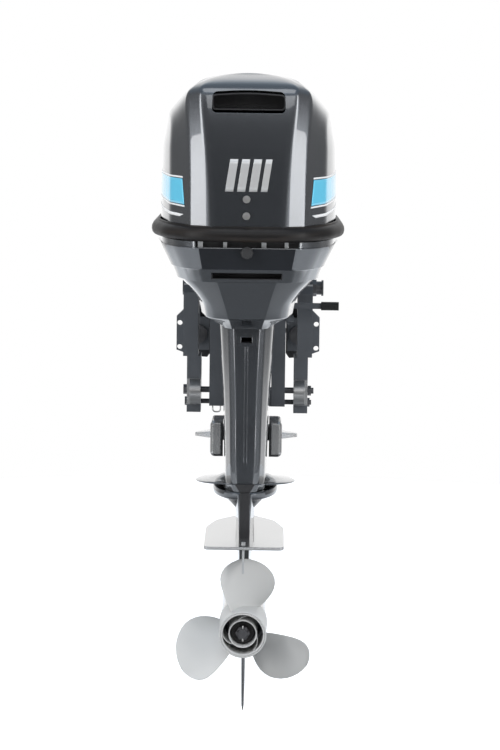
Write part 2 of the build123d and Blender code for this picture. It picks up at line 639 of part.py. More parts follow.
def rear_panel_slab():
    """The recess in the aft face of the bottom cowl: a sloping slab, narrower below."""
    low_aft = at_level(PAN_LEVELS, PANEL_LOW)[1]
    high_aft = at_level(PAN_LEVELS, PANEL_HIGH)[1]
    slab = side_plate(
        [
            (low_aft - 1, PANEL_LOW),
            (low_aft + PANEL_DEEP, PANEL_LOW),
            (high_aft + PANEL_DEEP, PANEL_HIGH),
            (high_aft - 1, PANEL_HIGH),
        ],
        (-PANEL_HALF_HIGH, PANEL_HALF_HIGH),
    )
    corners = [
        (-PANEL_HALF_LOW, PANEL_LOW),
        (PANEL_HALF_LOW, PANEL_LOW),
        (PANEL_HALF_HIGH, PANEL_HIGH),
        (-PANEL_HALF_HIGH, PANEL_HIGH),
    ]
    outline = make_face(Polyline(*corners, close=True))
    return slab & Pos(0, COWL_AFT + 40, 0) * extrude(Plane.XZ * outline, 80)


def bottom_cowl():
    """The open tray around the powerhead, its rear panel and its grab handle."""
    tray = casing(PAN_LEVELS)
    room = [(z + PAN_WALL if z == PAN_BOTTOM else z, *rest) for z, *rest in PAN_LEVELS]
    room[-1] = (PAN_TOP + 1, *room[-1][1:])
    tray -= casing(room, wall=PAN_WALL)
    guide_half = HOUSING_LEVELS[-1][1] + SEAT
    guide_y = (HOUSING_AFT, HOUSING_FRONT + 4)
    tray -= block((-guide_half, guide_half), guide_y, (PAN_BOTTOM - 1, PAN_BOTTOM + 9))
    slab = rear_panel_slab()
    aft_wall = at_level(PAN_LEVELS, LATCH_Z)[1]
    tray += rod_y(0, (aft_wall + 2, aft_wall + 12), LATCH_Z, LATCH_R + 3)
    tray -= slab
    stem_y = (aft_wall - 9, aft_wall + 30)
    tray -= rod_y(0, stem_y, LATCH_Z, LATCH_STEM_R + RUN)
    slot_x = (-HANDLE_SLOT_HALF, HANDLE_SLOT_HALF)
    slot_z = (HANDLE_SLOT_LOW, HANDLE_SLOT_HIGH)
    tray -= block(slot_x, (COWL_AFT, COWL_AFT + 70), slot_z)
    recess_half = PANEL_HALF_HIGH + 2
    recess_y = (COWL_AFT - 9, COWL_AFT + PAN_WALL - 1.5)
    tray -= block((-recess_half, recess_half), recess_y, (PANEL_HIGH + 1, PAN_TOP + 1))
    parts["bottom_cowl"] = tray
    parts["rear_panel"] = slab - rod_y(0, stem_y, LATCH_Z, LATCH_STEM_R + RUN + 1)

    mouth = at_level(PAN_LEVELS, HANDLE_SLOT_LOW)[1]
    cup = block(slot_x, (mouth + 1, mouth + 32), slot_z)
    cup_x = (-HANDLE_SLOT_HALF + 2, HANDLE_SLOT_HALF - 2)
    cup -= block(cup_x, (mouth, mouth + 29), (HANDLE_SLOT_LOW + 1.5, HANDLE_SLOT_HIGH - 1.5))
    parts["grab_handle"] = cup

    knob = rod_y(0, (aft_wall - 11, aft_wall - 4 - GAP), LATCH_Z, LATCH_R)
    knob += rod_y(0, (aft_wall - 5, aft_wall + 20), LATCH_Z, LATCH_STEM_R)
    knob += block((-5, 5), (aft_wall + 14, aft_wall + 19), (LATCH_Z - 16, LATCH_Z + 8))
    parts["cowl_latch"] = knob


# ---------------------------------------------------------------- top cowl
COWL_SHOULDERS = [           # below the top, narrower than the foot, aft end in, front end in
    (138.0, 6.0, 14.0, 12.0),
    (74.0, 18.0, 28.0, 36.0),
    (51.0, 39.0, 42.0, 58.0),
    (28.0, 62.0, 60.0, 86.0),
    (10.0, 100.0, 88.0, 122.0),
    (0.0, 142.0, 134.0, 178.0),
]
COWL_LEVELS = [(COWL_BOTTOM, COWL_HALF, COWL_AFT, COWL_FRONT)]
for drop, narrow, aft_in, front_in in COWL_SHOULDERS:
    COWL_LEVELS.append((COWL_TOP - drop, COWL_HALF - narrow, COWL_AFT + aft_in, COWL_FRONT - front_in))


def top_cowl():
    """The lift-off hood, its rubber band and the two screws of its rear catch."""
    hood = casing(COWL_LEVELS)
    room = [(COWL_BOTTOM - 1, *COWL_LEVELS[0][1:])]
    room += [(z - COWL_WALL * 0.6, *rest) for z, *rest in COWL_LEVELS[1:]]
    hood -= casing(room, wall=COWL_WALL)
    intake_low = COWL_TOP - INTAKE_DROP
    intake_z = (intake_low, intake_low + INTAKE_TALL)
    hood -= block((-INTAKE_HALF, INTAKE_HALF), (COWL_AFT, COWL_AFT + 75), intake_z)
    inner = casing_section(BAND_LOW, COWL_HALF - 0.5, COWL_AFT + 0.5, COWL_FRONT - 0.5)
    outer = casing_section(
        BAND_LOW, COWL_HALF + BAND_STAND, COWL_AFT - BAND_STAND, COWL_FRONT + BAND_STAND
    )
    band = extrude(outer, BAND_HIGH - BAND_LOW) - extrude(inner, BAND_HIGH - BAND_LOW)
    parts["cowl_band"] = band - casing(COWL_LEVELS[:2])
    screws = []
    for z in COWL_SCREW_Z:
        wall = at_level(COWL_LEVELS, z)[1]
        hood -= rod_y(0, (wall - 5, wall + 12), z, COWL_SCREW_R)
        screw = rod_y(0, (wall - 3, wall - 1), z, COWL_WASHER_R)
        screw += rod_y(0, (wall - 5.5, wall - 3), z, COWL_SCREW_R + 0.5)
        screws.append(screw + rod_y(0, (wall - 2, wall + 10), z, COWL_SCREW_R))
    parts["top_cowl"] = hood
    parts["cowl_screws"] = Compound(children=screws)


# ---------------------------------------------------------------- gearcase
STRUT_LEVELS = [
    (PROP_Z, STRUT_HALF - 2, STRUT_AFT + 55, STRUT_FRONT - 22),
    (PROP_Z + TORPEDO_R - 1, STRUT_HALF - 2, STRUT_AFT + 45, STRUT_FRONT - 20),
    (PLATE_Z - 31, STRUT_HALF, STRUT_AFT + 14, STRUT_FRONT - 10),
    (PLATE_Z, STRUT_HALF + 1, STRUT_AFT, STRUT_FRONT - 6),
    (CASE_TOP - 47, STRUT_HALF + 3, STRUT_AFT, STRUT_FRONT - 2),
    (CASE_TOP, STRUT_HALF + 9, STRUT_AFT + 1, STRUT_FRONT),
]
STRUT_SHAPE = {
    "aft_flat": 0.55,
    "front_flat": 0.3,
    "aft_run": 0.3,
    "front_run": 0.3,
    "round_share": 0.25,
}


def gearcase():
    """Strut, anti-ventilation plate, torpedo and skeg, bored for the shafts."""
    strut = casing(STRUT_LEVELS, **STRUT_SHAPE)
    middle = (HOUSING_AFT + HOUSING_FRONT) / 2
    flare = [(CASE_TOP, 60.0, 98.0), (CASE_TOP - 14, 63.0, 102.0), (CASE_TOP - 47, 17.0, 70.0)]
    strut += loft([Pos(0, middle, z) * Ellipse(a, b) for z, a, b in flare], ruled=True)
    torpedo = spin_y(
        [
            (0, TORPEDO_NOSE),
            (TORPEDO_R * 0.24, TORPEDO_NOSE - 3),
            (TORPEDO_R * 0.49, TORPEDO_NOSE - 13),
            (TORPEDO_R * 0.73, TORPEDO_NOSE - 33),
            (TORPEDO_R * 0.91, TORPEDO_NOSE - 62),
            (TORPEDO_R, TORPEDO_NOSE - 100),
            (TORPEDO_R, TORPEDO_AFT + 30),
            (TORPEDO_R - 1, TORPEDO_AFT),
            (0, TORPEDO_AFT),
        ],
        PROP_Z,
    )
    plan = [
        (14.0, PLATE_FRONT),
        (PLATE_HALF * 0.67, PLATE_FRONT - 46),
        (PLATE_HALF - 3, PLATE_FRONT - 100),
        (PLATE_HALF, PLATE_AFT),
    ]
    outline = make_face(Polyline(*(plan + [(-x, y) for x, y in reversed(plan)]), close=True))
    front_corners = outline.vertices().filter_by(lambda corner: corner.Y > PLATE_AFT + 5)
    plate = extrude(fillet(front_corners, 14), PLATE_THICK)
    plate = Pos(0, 0, PLATE_Z - PLATE_THICK / 2) * plate
    skeg_top = PROP_Z - TORPEDO_R + 8
    skeg = loft(
        [
            Pos(0, 0, skeg_top) * skeg_section(-118.0, -296.0, 5.0),
            Pos(0, 0, SKEG_BOTTOM + 40) * skeg_section(-196.0, -292.0, 3.2),
            Pos(0, 0, SKEG_BOTTOM) * skeg_section(-232.0, -286.0, 2.4),
        ],
        ruled=True,
    )
    case = strut + torpedo + plate + skeg
    case -= rod_y(0, (TORPEDO_AFT - 1, SHAFT_Y + JOURNAL_START), PROP_Z, TORPEDO_BORE_R)
    case -= rod_y(0, (SHAFT_Y + JOURNAL_START - 1, SHAFT_Y + GEAR_BACK + 2), PROP_Z, HUB_JOURNAL_R + RUN)
    case -= rod_z(0, SHAFT_Y, (PROP_Z + 12, PINION_TOP + 1), PINION_ROOM_R)
    case -= rod_z(0, SHAFT_Y, (PINION_TOP, PINION_TOP + 20), DRIVESHAFT_R + RUN)
    case -= rod_z(0, SHAFT_Y, (PINION_TOP + 20, CASE_TOP + 1), DRIVESHAFT_R + 2.5)
    case -= rod_z(0, SHIFT_Y, (PROP_Z, CASE_TOP + 1), SHIFT_R + RUN)
    case -= rod_z(0, STRUT_AFT + 62, (PLATE_Z + 8, CASE_TOP + 1), 7)
    case -= rod_y(0, (SHAFT_Y + GEAR_BACK, SHAFT_Y + 66), PROP_Z, PROPSHAFT_R + 1)
    case -= rod_z(-1, TAB_Y, (PLATE_Z - 20, PLATE_Z + 14), TAB_STUD_R)
    parts["gearcase"] = case

    tab_top = PLATE_Z - PLATE_THICK / 2 - SEAT
    fin = [
        (TAB_Y + 24, tab_top),
        (TAB_Y - 28, tab_top),
        (TAB_Y - 30, tab_top - 46),
        (TAB_Y - 24, tab_top - 46),
        (TAB_Y + 22, tab_top - 12),
    ]
    tab = side_plate(fin, (-3, 1))
    stud = rod_z(-1, TAB_Y, (PLATE_Z - 9, PLATE_Z + 6), TAB_STUD_R)
    parts["trim_tab"] = tab + stud


def skeg_section(front, aft, half):
    """A thin blade section with sharp ends."""
    mid = (front * 2 + aft) / 3
    edge = half * 0.6
    corners = [(0, front), (half, mid), (edge, aft), (-edge, aft), (-half, mid)]
    return make_face(Polyline(*corners, close=True))


CONE = MODULE * hypot(PINION_TEETH, GEAR_TEETH) / 2     # outer cone distance
PINION_ANGLE = atan2(PINION_TEETH, GEAR_TEETH)
GEAR_ANGLE = pi / 2 - PINION_ANGLE
ADDENDUM = 0.75 * MODULE
DEDENDUM = 0.95 * MODULE
GEAR_FACE = 12.9             # dog face of a gear, from the pinion's axis
GEAR_BACK = 44.0
JOURNAL_START = 32.0         # forward gear's journal, from the pinion's axis
PINION_TOP = PROP_Z + CONE * cos(PINION_ANGLE) + 14
PINION_ROOM_R = CONE * sin(PINION_ANGLE) + 5
TAB_Y = -392.0
TAB_STUD_R = 4.0


def cone_point(distance, angle, lift, across=0.0):
    """A point on a gear's pitch cone, lifted off it and moved across, both scaled towards the apex."""
    scale = distance / CONE
    radius = distance * sin(angle) + lift * scale * cos(angle)
    height = distance * cos(angle) - lift * scale * sin(angle)
    return (radius, across * scale, height)


def bevel_gear(teeth, angle, first, face_z, back_z, bore):
    """A straight bevel gear with its apex at the origin and its back up +Z."""
    inner = CONE - FACE_WIDTH
    root_out = cone_point(CONE, angle, -DEDENDUM)
    root_in = cone_point(inner, angle, -DEDENDUM)
    back_r = max(HUB_JOURNAL_R, bore + 4) if angle > pi / 4 else DRIVESHAFT_R + 6
    rim_z = root_out[2] + 5
    outline = [(bore, face_z), (root_in[0], max(face_z, root_in[2]) if angle < pi / 4 else face_z)]
    outline += [(root_in[0] + 0.01, root_in[2]), (root_out[0], root_out[2]), (root_out[0] - 1, rim_z)]
    outline += [(back_r, rim_z + 2), (back_r, back_z), (bore, back_z)]
    blank = revolve(make_face(Polyline(*[(r, 0, z) for r, z in outline], close=True)), Axis.Z)
    half = 0.205 * pi * MODULE
    slope = tan(radians(20))
    rows = [(-DEDENDUM - 0.4, half + (DEDENDUM + 0.4) * slope), (ADDENDUM, half - ADDENDUM * slope)]
    ends = []
    for distance in (CONE, inner):
        (low, wide), (high, narrow) = rows
        corners = [(low, wide), (high, narrow), (high, -narrow), (low, -wide)]
        points = [cone_point(distance, angle, lift, across) for lift, across in corners]
        ends.append(make_face(Polyline(*points, close=True)))
    tooth = loft(ends, ruled=True)
    turns = [first + 360.0 * n / teeth for n in range(teeth)]
    return blank.fuse(*[Rot(0, 0, turn) * tooth for turn in turns])


def dogs(base_z, tip_z, first):
    """Two driving dogs on a gear's or clutch's face, from one height to another."""
    reach = []
    for n in range(2):
        sector = extrude(dog_sector(), abs(tip_z - base_z))
        reach.append(Pos(0, 0, min(base_z, tip_z)) * Rot(0, 0, first + 180.0 * n) * sector)
    return reach


def dog_sector():
    """A sector of the ring in which the dogs lie."""
    half = radians(DOG_WIDTH / 2)
    inner = PROPSHAFT_R + 2
    outer = CLUTCH_R
    points = [
        (inner * cos(half), inner * sin(half)),
        (outer * cos(half), outer * sin(half)),
        (outer, 0),
        (outer * cos(half), -outer * sin(half)),
        (inner * cos(half), -inner * sin(half)),
    ]
    return make_face(Polyline(*points, close=True))


def gear_train():
    """Pinion, the two driven gears, the dog clutch between them and the shift rod."""
    apex = Pos(0, SHAFT_Y, PROP_Z)
    pinion_face = (CONE - FACE_WIDTH) * cos(PINION_ANGLE) + 0.5
    pinion_back = PINION_TOP - PROP_Z - 2
    pinion = bevel_gear(PINION_TEETH, PINION_ANGLE, 90.0, pinion_face, pinion_back, DRIVESHAFT_R)
    parts["pinion_gear"] = apex * pinion
    bore = PROPSHAFT_R + RUN
    gap_phase = 90.0 + 180.0 / GEAR_TEETH
    forward = bevel_gear(GEAR_TEETH, GEAR_ANGLE, gap_phase, GEAR_FACE, GEAR_BACK, bore)
    forward = forward.fuse(*dogs(GEAR_FACE + 0.5, GEAR_FACE - DOG_DEPTH - 0.4, DOG_PHASE))
    parts["forward_gear"] = apex * Rot(-90, 0, 0) * forward
    reverse = bevel_gear(GEAR_TEETH, GEAR_ANGLE, 90.0, GEAR_FACE, GEAR_BACK + 4, bore)
    reverse = reverse.fuse(*dogs(GEAR_FACE + 0.5, GEAR_FACE - DOG_DEPTH - 0.4, 0.0))
    parts["reverse_gear"] = apex * Rot(90, 0, 0) * reverse

    clutch = rod_y(0, (SHAFT_Y - 5, SHAFT_Y + 5), PROP_Z, CLUTCH_R)
    for turn in (-90, 90):
        teeth = dogs(4.5, 5 + DOG_DEPTH, 90.0)
        clutch = clutch.fuse(*[apex * Rot(turn, 0, 0) * tooth for tooth in teeth])
    parts["clutch_dog"] = clutch - rod_y(0, (SHAFT_Y - 20, SHAFT_Y + 20), PROP_Z, PROPSHAFT_R + RUN)

    rod = rod_z(0, SHIFT_Y, (PROP_Z + 11, HOUSING_TOP - 5), SHIFT_R)
    lever_z = HOUSING_TOP - 12
    rod += block((-4, 4), (SHIFT_Y - SHIFT_LEVER, SHIFT_Y), (lever_z - 3, lever_z + 3))
    rod += rod_z(0, SHIFT_Y - SHIFT_LEVER, (lever_z - 3, lever_z + 10), 4)
    parts["shift_rod"] = rod


def pump_and_shafts():
    """Driveshaft, water pump and its impeller, propeller shaft and its carrier."""
    pump_z = (CASE_TOP + SEAT, CASE_TOP + 34)
    parts["driveshaft"] = rod_z(0, SHAFT_Y, (PROP_Z + 24, BLOCK_LOW - 4), DRIVESHAFT_R)
    pump = rod_z(0, SHAFT_Y, pump_z, IMPELLER_R + 9)
    pump -= rod_z(0, SHAFT_Y, (pump_z[0] + 6, pump_z[1] - 6), IMPELLER_R + 1.5)
    pump -= rod_z(0, SHAFT_Y, (pump_z[0] - 1, pump_z[1] + 1), DRIVESHAFT_R + RUN)
    parts["water_pump"] = pump
    hub = rod_z(0, SHAFT_Y, (pump_z[0] + 7, pump_z[1] - 7), DRIVESHAFT_R + 5)
    vane_z = (pump_z[0] + 7, pump_z[1] - 7)
    vane = block((DRIVESHAFT_R + 3, IMPELLER_R), (SHAFT_Y - 1.5, SHAFT_Y + 1.5), vane_z)
    about = Pos(0, SHAFT_Y, 0)
    vanes = [about * Rot(0, 0, 60.0 * n) * about.inverse() * vane for n in range(6)]
    impeller = hub.fuse(*vanes)
    parts["pump_impeller"] = impeller - rod_z(0, SHAFT_Y, (pump_z[0], pump_z[1]), DRIVESHAFT_R)

    end_y = HUB_AFT + 8
    parts["propeller_shaft"] = rod_y(0, (end_y, SHAFT_Y + GEAR_BACK + 6), PROP_Z, PROPSHAFT_R)
    carrier_y = (TORPEDO_AFT + 6, SHAFT_Y - 50)
    carrier = rod_y(0, (TORPEDO_AFT + 6, TORPEDO_AFT + 20), PROP_Z, TORPEDO_BORE_R - SEAT)
    carrier += rod_y(0, carrier_y, PROP_Z, 24)
    carrier += rod_y(0, (SHAFT_Y - 62, SHAFT_Y - 38), PROP_Z, TORPEDO_BORE_R - SEAT)
    carrier -= rod_y(0, (SHAFT_Y - 52, SHAFT_Y - 30), PROP_Z, HUB_JOURNAL_R + RUN)
    carrier -= rod_y(0, (TORPEDO_AFT, SHAFT_Y - 30), PROP_Z, PROPSHAFT_R + RUN)
    for x in (-30, 30):
        carrier -= rod_y(x, (TORPEDO_AFT, SHAFT_Y - 30), PROP_Z, 5)
    parts["bearing_carrier"] = carrier


# ---------------------------------------------------------------- propeller
BLADES = 3
BLADE_ROWS = [               # share of radius, width seen from aft, thickness, sideways lean
    (0.27, 50.0, 9.0, -2.0),
    (0.42, 78.0, 7.5, 2.0),
    (0.52, 94.0, 6.5, 5.0),
    (0.62, 104.0, 5.5, 7.0),
    (0.74, 104.0, 4.2, 9.0),
    (0.84, 92.0, 3.4, 10.0),
    (0.92, 70.0, 2.8, 10.0),
    (0.97, 42.0, 2.4, 9.5),
    (0.995, 14.0, 2.0, 9.0),
]


def blade():
    """One blade standing up +Z from the propeller shaft's axis, at the axis height."""
    rows = []
    for share, width, thick, lean in BLADE_ROWS:
        radius = share * PROP_R
        pitch = atan(PROP_PITCH / (2 * pi * radius))
        chord = width / cos(pitch)
        plane = Plane(origin=(lean, BLADE_Y, radius), x_dir=(cos(pitch), sin(pitch), 0), z_dir=(0, 0, 1))
        rows.append(plane * Ellipse(chord / 2, thick / 2))
    return loft(rows, ruled=True)


def propeller():
    """Three-bladed propeller with through-hub exhaust, its rubber bush, nut and cotter pin."""
    ring_out = HUB_R - 2
    ring_in = ring_out - 7
    core_out = 27.5
    core_in = 22.0
    barrel = [(ring_in, HUB_AFT), (ring_out, HUB_AFT), (HUB_R, HUB_FRONT), (ring_in + 1, HUB_FRONT)]
    outer = spin_y(barrel, PROP_Z)
    core = rod_y(0, (HUB_AFT + 6, HUB_FRONT), PROP_Z, core_out)
    wheel = outer + core
    for n in range(BLADES):
        turn = Pos(0, 0, PROP_Z) * Rot(0, 120.0 * n, 0)
        web = block((-3, 3), (HUB_AFT + 8, HUB_FRONT - 8), (core_out - 2, ring_in + 3))
        wheel += turn * web
        petal = blade() - rod_y(0, (HUB_AFT, HUB_FRONT), 0, ring_out - 3)
        wheel += turn * petal
    wheel -= rod_y(0, (HUB_AFT, HUB_FRONT + 1), PROP_Z, core_in)
    thrust_ring = rod_y(0, (HUB_FRONT - 14, HUB_FRONT), PROP_Z, core_in + 1)
    wheel += thrust_ring - rod_y(0, (HUB_FRONT - 15, HUB_FRONT + 1), PROP_Z, PROPSHAFT_R + 3)
    parts["propeller"] = wheel
    bush = rod_y(0, (HUB_AFT + 26, HUB_FRONT - 14), PROP_Z, core_in)
    parts["prop_bush"] = bush - rod_y(0, (HUB_AFT, HUB_FRONT), PROP_Z, PROPSHAFT_R)
    nut_y = (HUB_AFT + 13, HUB_AFT + 26)
    nut = extrude(RegularPolygon(14.0, 6), nut_y[1] - nut_y[0])
    nut = Pos(0, nut_y[0], PROP_Z) * Rot(-90, 0, 0) * nut
    nut += rod_y(0, (nut_y[0] - 3, nut_y[0]), PROP_Z, 11.5)
    nut -= rod_y(0, (HUB_AFT, HUB_FRONT), PROP_Z, PROPSHAFT_R)
    for n in range(3):
        slot = block((-2, 2), (nut_y[0] - 4, nut_y[0] + 2), (PROPSHAFT_R - 1, 13))
        nut -= Pos(0, 0, PROP_Z) * Rot(0, 60.0 * n, 0) * (slot + mirror(slot, Plane.XY))
    parts["prop_nut"] = nut
    pin = rod_z(0, nut_y[0] - 0.9, (PROP_Z - 15, PROP_Z + 15), 1.6)
    parts["cotter_pin"] = pin
    parts["propeller_shaft"] -= pin


# ---------------------------------------------------------------- powerhead
def powerhead():
    """Block, crankcase, head and the pieces bolted to them."""
    plan = HOUSING_LEVELS[-1][1:]
    guide = casing([(HOUSING_TOP + SEAT, *plan), (BLOCK_LOW - SEAT, *plan)], **HOUSING_SHAPE)
    guide -= rod_z(0, SHAFT_Y, (HOUSING_TOP, BLOCK_LOW), 24)
    guide -= block((-28, 28), (-300, -240), (HOUSING_TOP, BLOCK_LOW))
    parts["exhaust_guide"] = guide

    room_z = (BLOCK_LOW + 10, BLOCK_HIGH - 10)
    block_body = block((-BLOCK_HALF, BLOCK_HALF), (BLOCK_AFT, SHAFT_Y), (BLOCK_LOW, BLOCK_HIGH))
    exhaust_z = (BLOCK_LOW + 16, BLOCK_HIGH - 16)
    block_body += block((BLOCK_HALF - 4, BLOCK_HALF + 22), (BLOCK_AFT + 8, SHAFT_Y - 34), exhaust_z)
    case = block((-BLOCK_HALF, BLOCK_HALF), (SHAFT_Y + SEAT, CRANKCASE_FRONT), (BLOCK_LOW, BLOCK_HIGH))
    room = rod_z(0, SHAFT_Y, room_z, CRANK_ROOM_R)
    main_bore = rod_z(0, SHAFT_Y, (BLOCK_LOW - 1, BLOCK_HIGH + 1), JOURNAL_R + RUN)
    for z in CYLINDER_Z:
        block_body -= rod_y(0, (BLOCK_AFT - 1, SHAFT_Y), z, BORE_R)
        intake_x = (-BLOCK_HALF - 1, -CRANK_ROOM_R + 12)
        case -= block(intake_x, (SHAFT_Y + 20, SHAFT_Y + 42), (z - 11, z + 11))
    parts["engine_block"] = block_body - room - main_bore
    parts["crankcase"] = case - room - main_bore

    head_y = (BLOCK_AFT - HEAD_THICK, BLOCK_AFT - SEAT)
    head = block((-BLOCK_HALF, BLOCK_HALF), head_y, (BLOCK_LOW, BLOCK_HIGH))
    head = fillet(head.edges().filter_by(Axis.Z).group_by(Axis.Y)[0], 12)
    plugs = []
    for z in CYLINDER_Z:
        chamber = [
            (0, head_y[1] + 1),
            (BORE_R - 4, head_y[1] + 1),
            (BORE_R - 14, head_y[1] - 12),
            (0, head_y[1] - 14),
        ]
        head -= spin_y(chamber, z)
        head -= rod_y(0, (head_y[0] - 1, head_y[1]), z, PLUG_R)
        plug = rod_y(0, (head_y[0] - 8, head_y[1] - 8), z, PLUG_R)
        plugs.append(plug + rod_y(0, (head_y[0] - 34, head_y[0] - 8), z, PLUG_R + 2.5))
    parts["cylinder_head"] = head
    parts["spark_plugs"] = Compound(children=plugs)

    carbs = []
    carb_y = (SHAFT_Y + 18, SHAFT_Y + 60)
    carb_out = -BLOCK_HALF - 44
    for z in CYLINDER_Z:
        body = block((carb_out, -BLOCK_HALF - SEAT), carb_y, (z - 22, z + 16))
        body += rod_z(carb_out + 20, (carb_y[0] + carb_y[1]) / 2, (z - 34, z - 20), 14)
        body -= rod_x((carb_out - 1, -BLOCK_HALF), (carb_y[0] + carb_y[1]) / 2, z, THROAT_R)
        carbs.append(body)
    parts["carburettors"] = Compound(children=carbs)
    silencer_y = (carb_y[0] - 20, carb_y[1] + 14)
    silencer = block((carb_out - 24, carb_out - SEAT), silencer_y, (BLOCK_LOW + 14, BLOCK_HIGH - 14))
    silencer = fillet(silencer.edges().filter_by(Axis.Z), 8)
    room_y = (carb_y[0] - 14, carb_y[1] + 8)
    room = block((carb_out - 21, carb_out - 4), room_y, (BLOCK_LOW + 18, BLOCK_HIGH - 18))
    parts["intake_silencer"] = silencer - room

    starter_x = BLOCK_HALF + 36
    starter = rod_z(starter_x, SHAFT_Y + 42, (BLOCK_LOW + 60, BLOCK_HIGH - 20), 30)
    starter += rod_z(starter_x, SHAFT_Y + 42, (BLOCK_HIGH - 20, BLOCK_HIGH - 6), 12)
    strap_z = (BLOCK_LOW + 90, BLOCK_HIGH - 50)
    starter += block((BLOCK_HALF + SEAT, BLOCK_HALF + 20), (SHAFT_Y + 30, SHAFT_Y + 54), strap_z)
    parts["starter_motor"] = starter


def crankshaft():
    """Crankshaft with a pair of webs and a pin for each cylinder, and the flywheel on top."""
    shaft = rod_z(0, SHAFT_Y, (BLOCK_LOW - 4, CYLINDER_Z[0] - 20), JOURNAL_R)
    shaft += rod_z(0, SHAFT_Y, (CYLINDER_Z[-1] + 20, BLOCK_HIGH + 16), JOURNAL_R)
    about = Pos(0, SHAFT_Y, 0)
    for n, z in enumerate(CYLINDER_Z):
        turn = about * Rot(0, 0, 120.0 * n) * about.inverse()
        for low in (z - 24, z + 10):
            shaft += rod_z(0, SHAFT_Y, (low, low + 14), CRANK_ROOM_R - 3)
        shaft += turn * rod_z(0, SHAFT_Y - THROW + 2, (z - 12, z + 12), 13)
        if n:
            shaft += rod_z(0, SHAFT_Y, (CYLINDER_Z[n - 1] + 20, z - 20), JOURNAL_R)
    shaft += rod_z(0, SHAFT_Y, (BLOCK_HIGH + 15, BLOCK_HIGH + 44), JOURNAL_R - 6)
    parts["crankshaft"] = shaft
    low = BLOCK_HIGH + 16 + SEAT
    wheel = rod_z(0, SHAFT_Y, (low, low + FLYWHEEL_THICK), FLYWHEEL_R)
    dish_z = (low + 8, low + FLYWHEEL_THICK + 1)
    wheel -= rod_z(0, SHAFT_Y, dish_z, FLYWHEEL_R - 14) - rod_z(0, SHAFT_Y, dish_z, 26)
    wheel -= rod_z(0, SHAFT_Y, (low - 1, low + FLYWHEEL_THICK + 1), JOURNAL_R - 6)
    parts["flywheel"] = wheel


def build():
    """Makes every piece and writes each one to its own file."""
    for name, side in SIDES.items():
        parts["clamp_bracket_" + name] = clamp_bracket(side)
        clamp_screw(side, name)
    tilt_hardware()
    swivel_bracket()
    bonding_lead()
    tilt_lever()
    steering_bracket()
    lower_mounts()
    driveshaft_housing()
    apron()
    bottom_cowl()
    top_cowl()
    gearcase()
    gear_train()
    pump_and_shafts()
    propeller()
    powerhead()
    crankshaft()
    os.makedirs("parts", exist_ok=True)
    for name, shape in parts.items():
        export_step(shape, os.path.join("parts", name + ".step"))
    print(len(parts), "pieces")


build()
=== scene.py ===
import math

import bmesh
import bpy
from mathutils import Matrix, Vector
from mathutils.bvhtree import BVHTree


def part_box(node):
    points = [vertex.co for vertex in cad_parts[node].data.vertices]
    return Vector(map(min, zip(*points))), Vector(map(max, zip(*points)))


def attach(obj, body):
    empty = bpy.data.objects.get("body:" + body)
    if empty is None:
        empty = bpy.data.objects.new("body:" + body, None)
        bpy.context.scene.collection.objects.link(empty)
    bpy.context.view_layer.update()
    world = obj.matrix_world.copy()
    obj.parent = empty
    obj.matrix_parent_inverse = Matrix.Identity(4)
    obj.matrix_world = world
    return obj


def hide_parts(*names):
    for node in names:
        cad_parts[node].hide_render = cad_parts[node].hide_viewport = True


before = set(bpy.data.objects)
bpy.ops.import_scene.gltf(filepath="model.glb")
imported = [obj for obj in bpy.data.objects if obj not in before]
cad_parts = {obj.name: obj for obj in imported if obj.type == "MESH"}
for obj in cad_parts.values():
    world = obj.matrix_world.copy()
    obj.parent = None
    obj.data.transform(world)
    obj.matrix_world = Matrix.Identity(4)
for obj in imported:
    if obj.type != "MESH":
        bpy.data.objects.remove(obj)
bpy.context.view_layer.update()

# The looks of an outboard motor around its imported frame: +X starboard, +Y forward, +Z up.
# Shapes are in millimetres, which MM scales to the scene's metres. Shaders count in metres.
MM = 0.001


# ---------------------------------------------------------------- shader maths
def add_node(tree, kind, settings=None, **inputs):
    """Adds a node: its type, its settings, then the values or links of its sockets."""
    made = tree.nodes.new(kind)
    for key, value in (settings or {}).items():
        setattr(made, key, value)
    for key, value in inputs.items():
        socket = made.inputs[int(key[1:])] if key[0] == "_" else made.inputs[key.replace("_", " ")]
        if isinstance(value, bpy.types.NodeSocket):
            tree.links.new(value, socket)
        else:
            socket.default_value = value
    return made


class Wire:
    """A shader socket that takes part in Python expressions."""

    tree = None

    def __init__(self, socket):
        self.socket = socket

    @classmethod
    def node(cls, kind, settings=None, **inputs):
        """Adds a shader node, whose inputs may be wires."""
        plain = {key: value.socket if isinstance(value, Wire) else value for key, value in inputs.items()}
        return add_node(cls.tree, "ShaderNode" + kind, settings, **plain)

    def maths(self, operation, *others):
        """One Math node on this value and the others."""
        inputs = {"_%d" % n: other for n, other in enumerate((self, *others))}
        return Wire(Wire.node("Math", {"operation": operation}, **inputs).outputs[0])

    def __add__(self, other):
        return self.maths("ADD", other)

    def __sub__(self, other):
        return self.maths("SUBTRACT", other)

    def __rsub__(self, other):
        return (self * -1.0) + other

    def __mul__(self, other):
        return self.maths("MULTIPLY", other)

    __radd__ = __add__

    def above(self, edge, width):
        """0 below an edge and 1 above it, turning over a width."""
        smooth = {"interpolation_type": "SMOOTHSTEP"}
        made = Wire.node("MapRange", smooth, Value=self, From_Min=edge, From_Max=edge + width)
        return Wire(made.outputs[0])


def mixed(share, first, second):
    """Two colours mixed by a share."""
    made = Wire.node("Mix", {"data_type": "RGBA"}, _0=share, _6=first, _7=second)
    return Wire(made.outputs[2])


def noise(scale, detail=2.0, stretch=None):
    """Noise on object coordinates, optionally stretched."""
    where = object_coords()
    if stretch:
        where = Wire(Wire.node("Mapping", Vector=where, Scale=stretch).outputs[0])
    return Wire(Wire.node("TexNoise", Vector=where, Scale=scale, Detail=detail).outputs[0])


def object_coords():
    """The piece's own coordinates, which are the row frame."""
    return Wire(Wire.node("TexCoord").outputs["Object"])


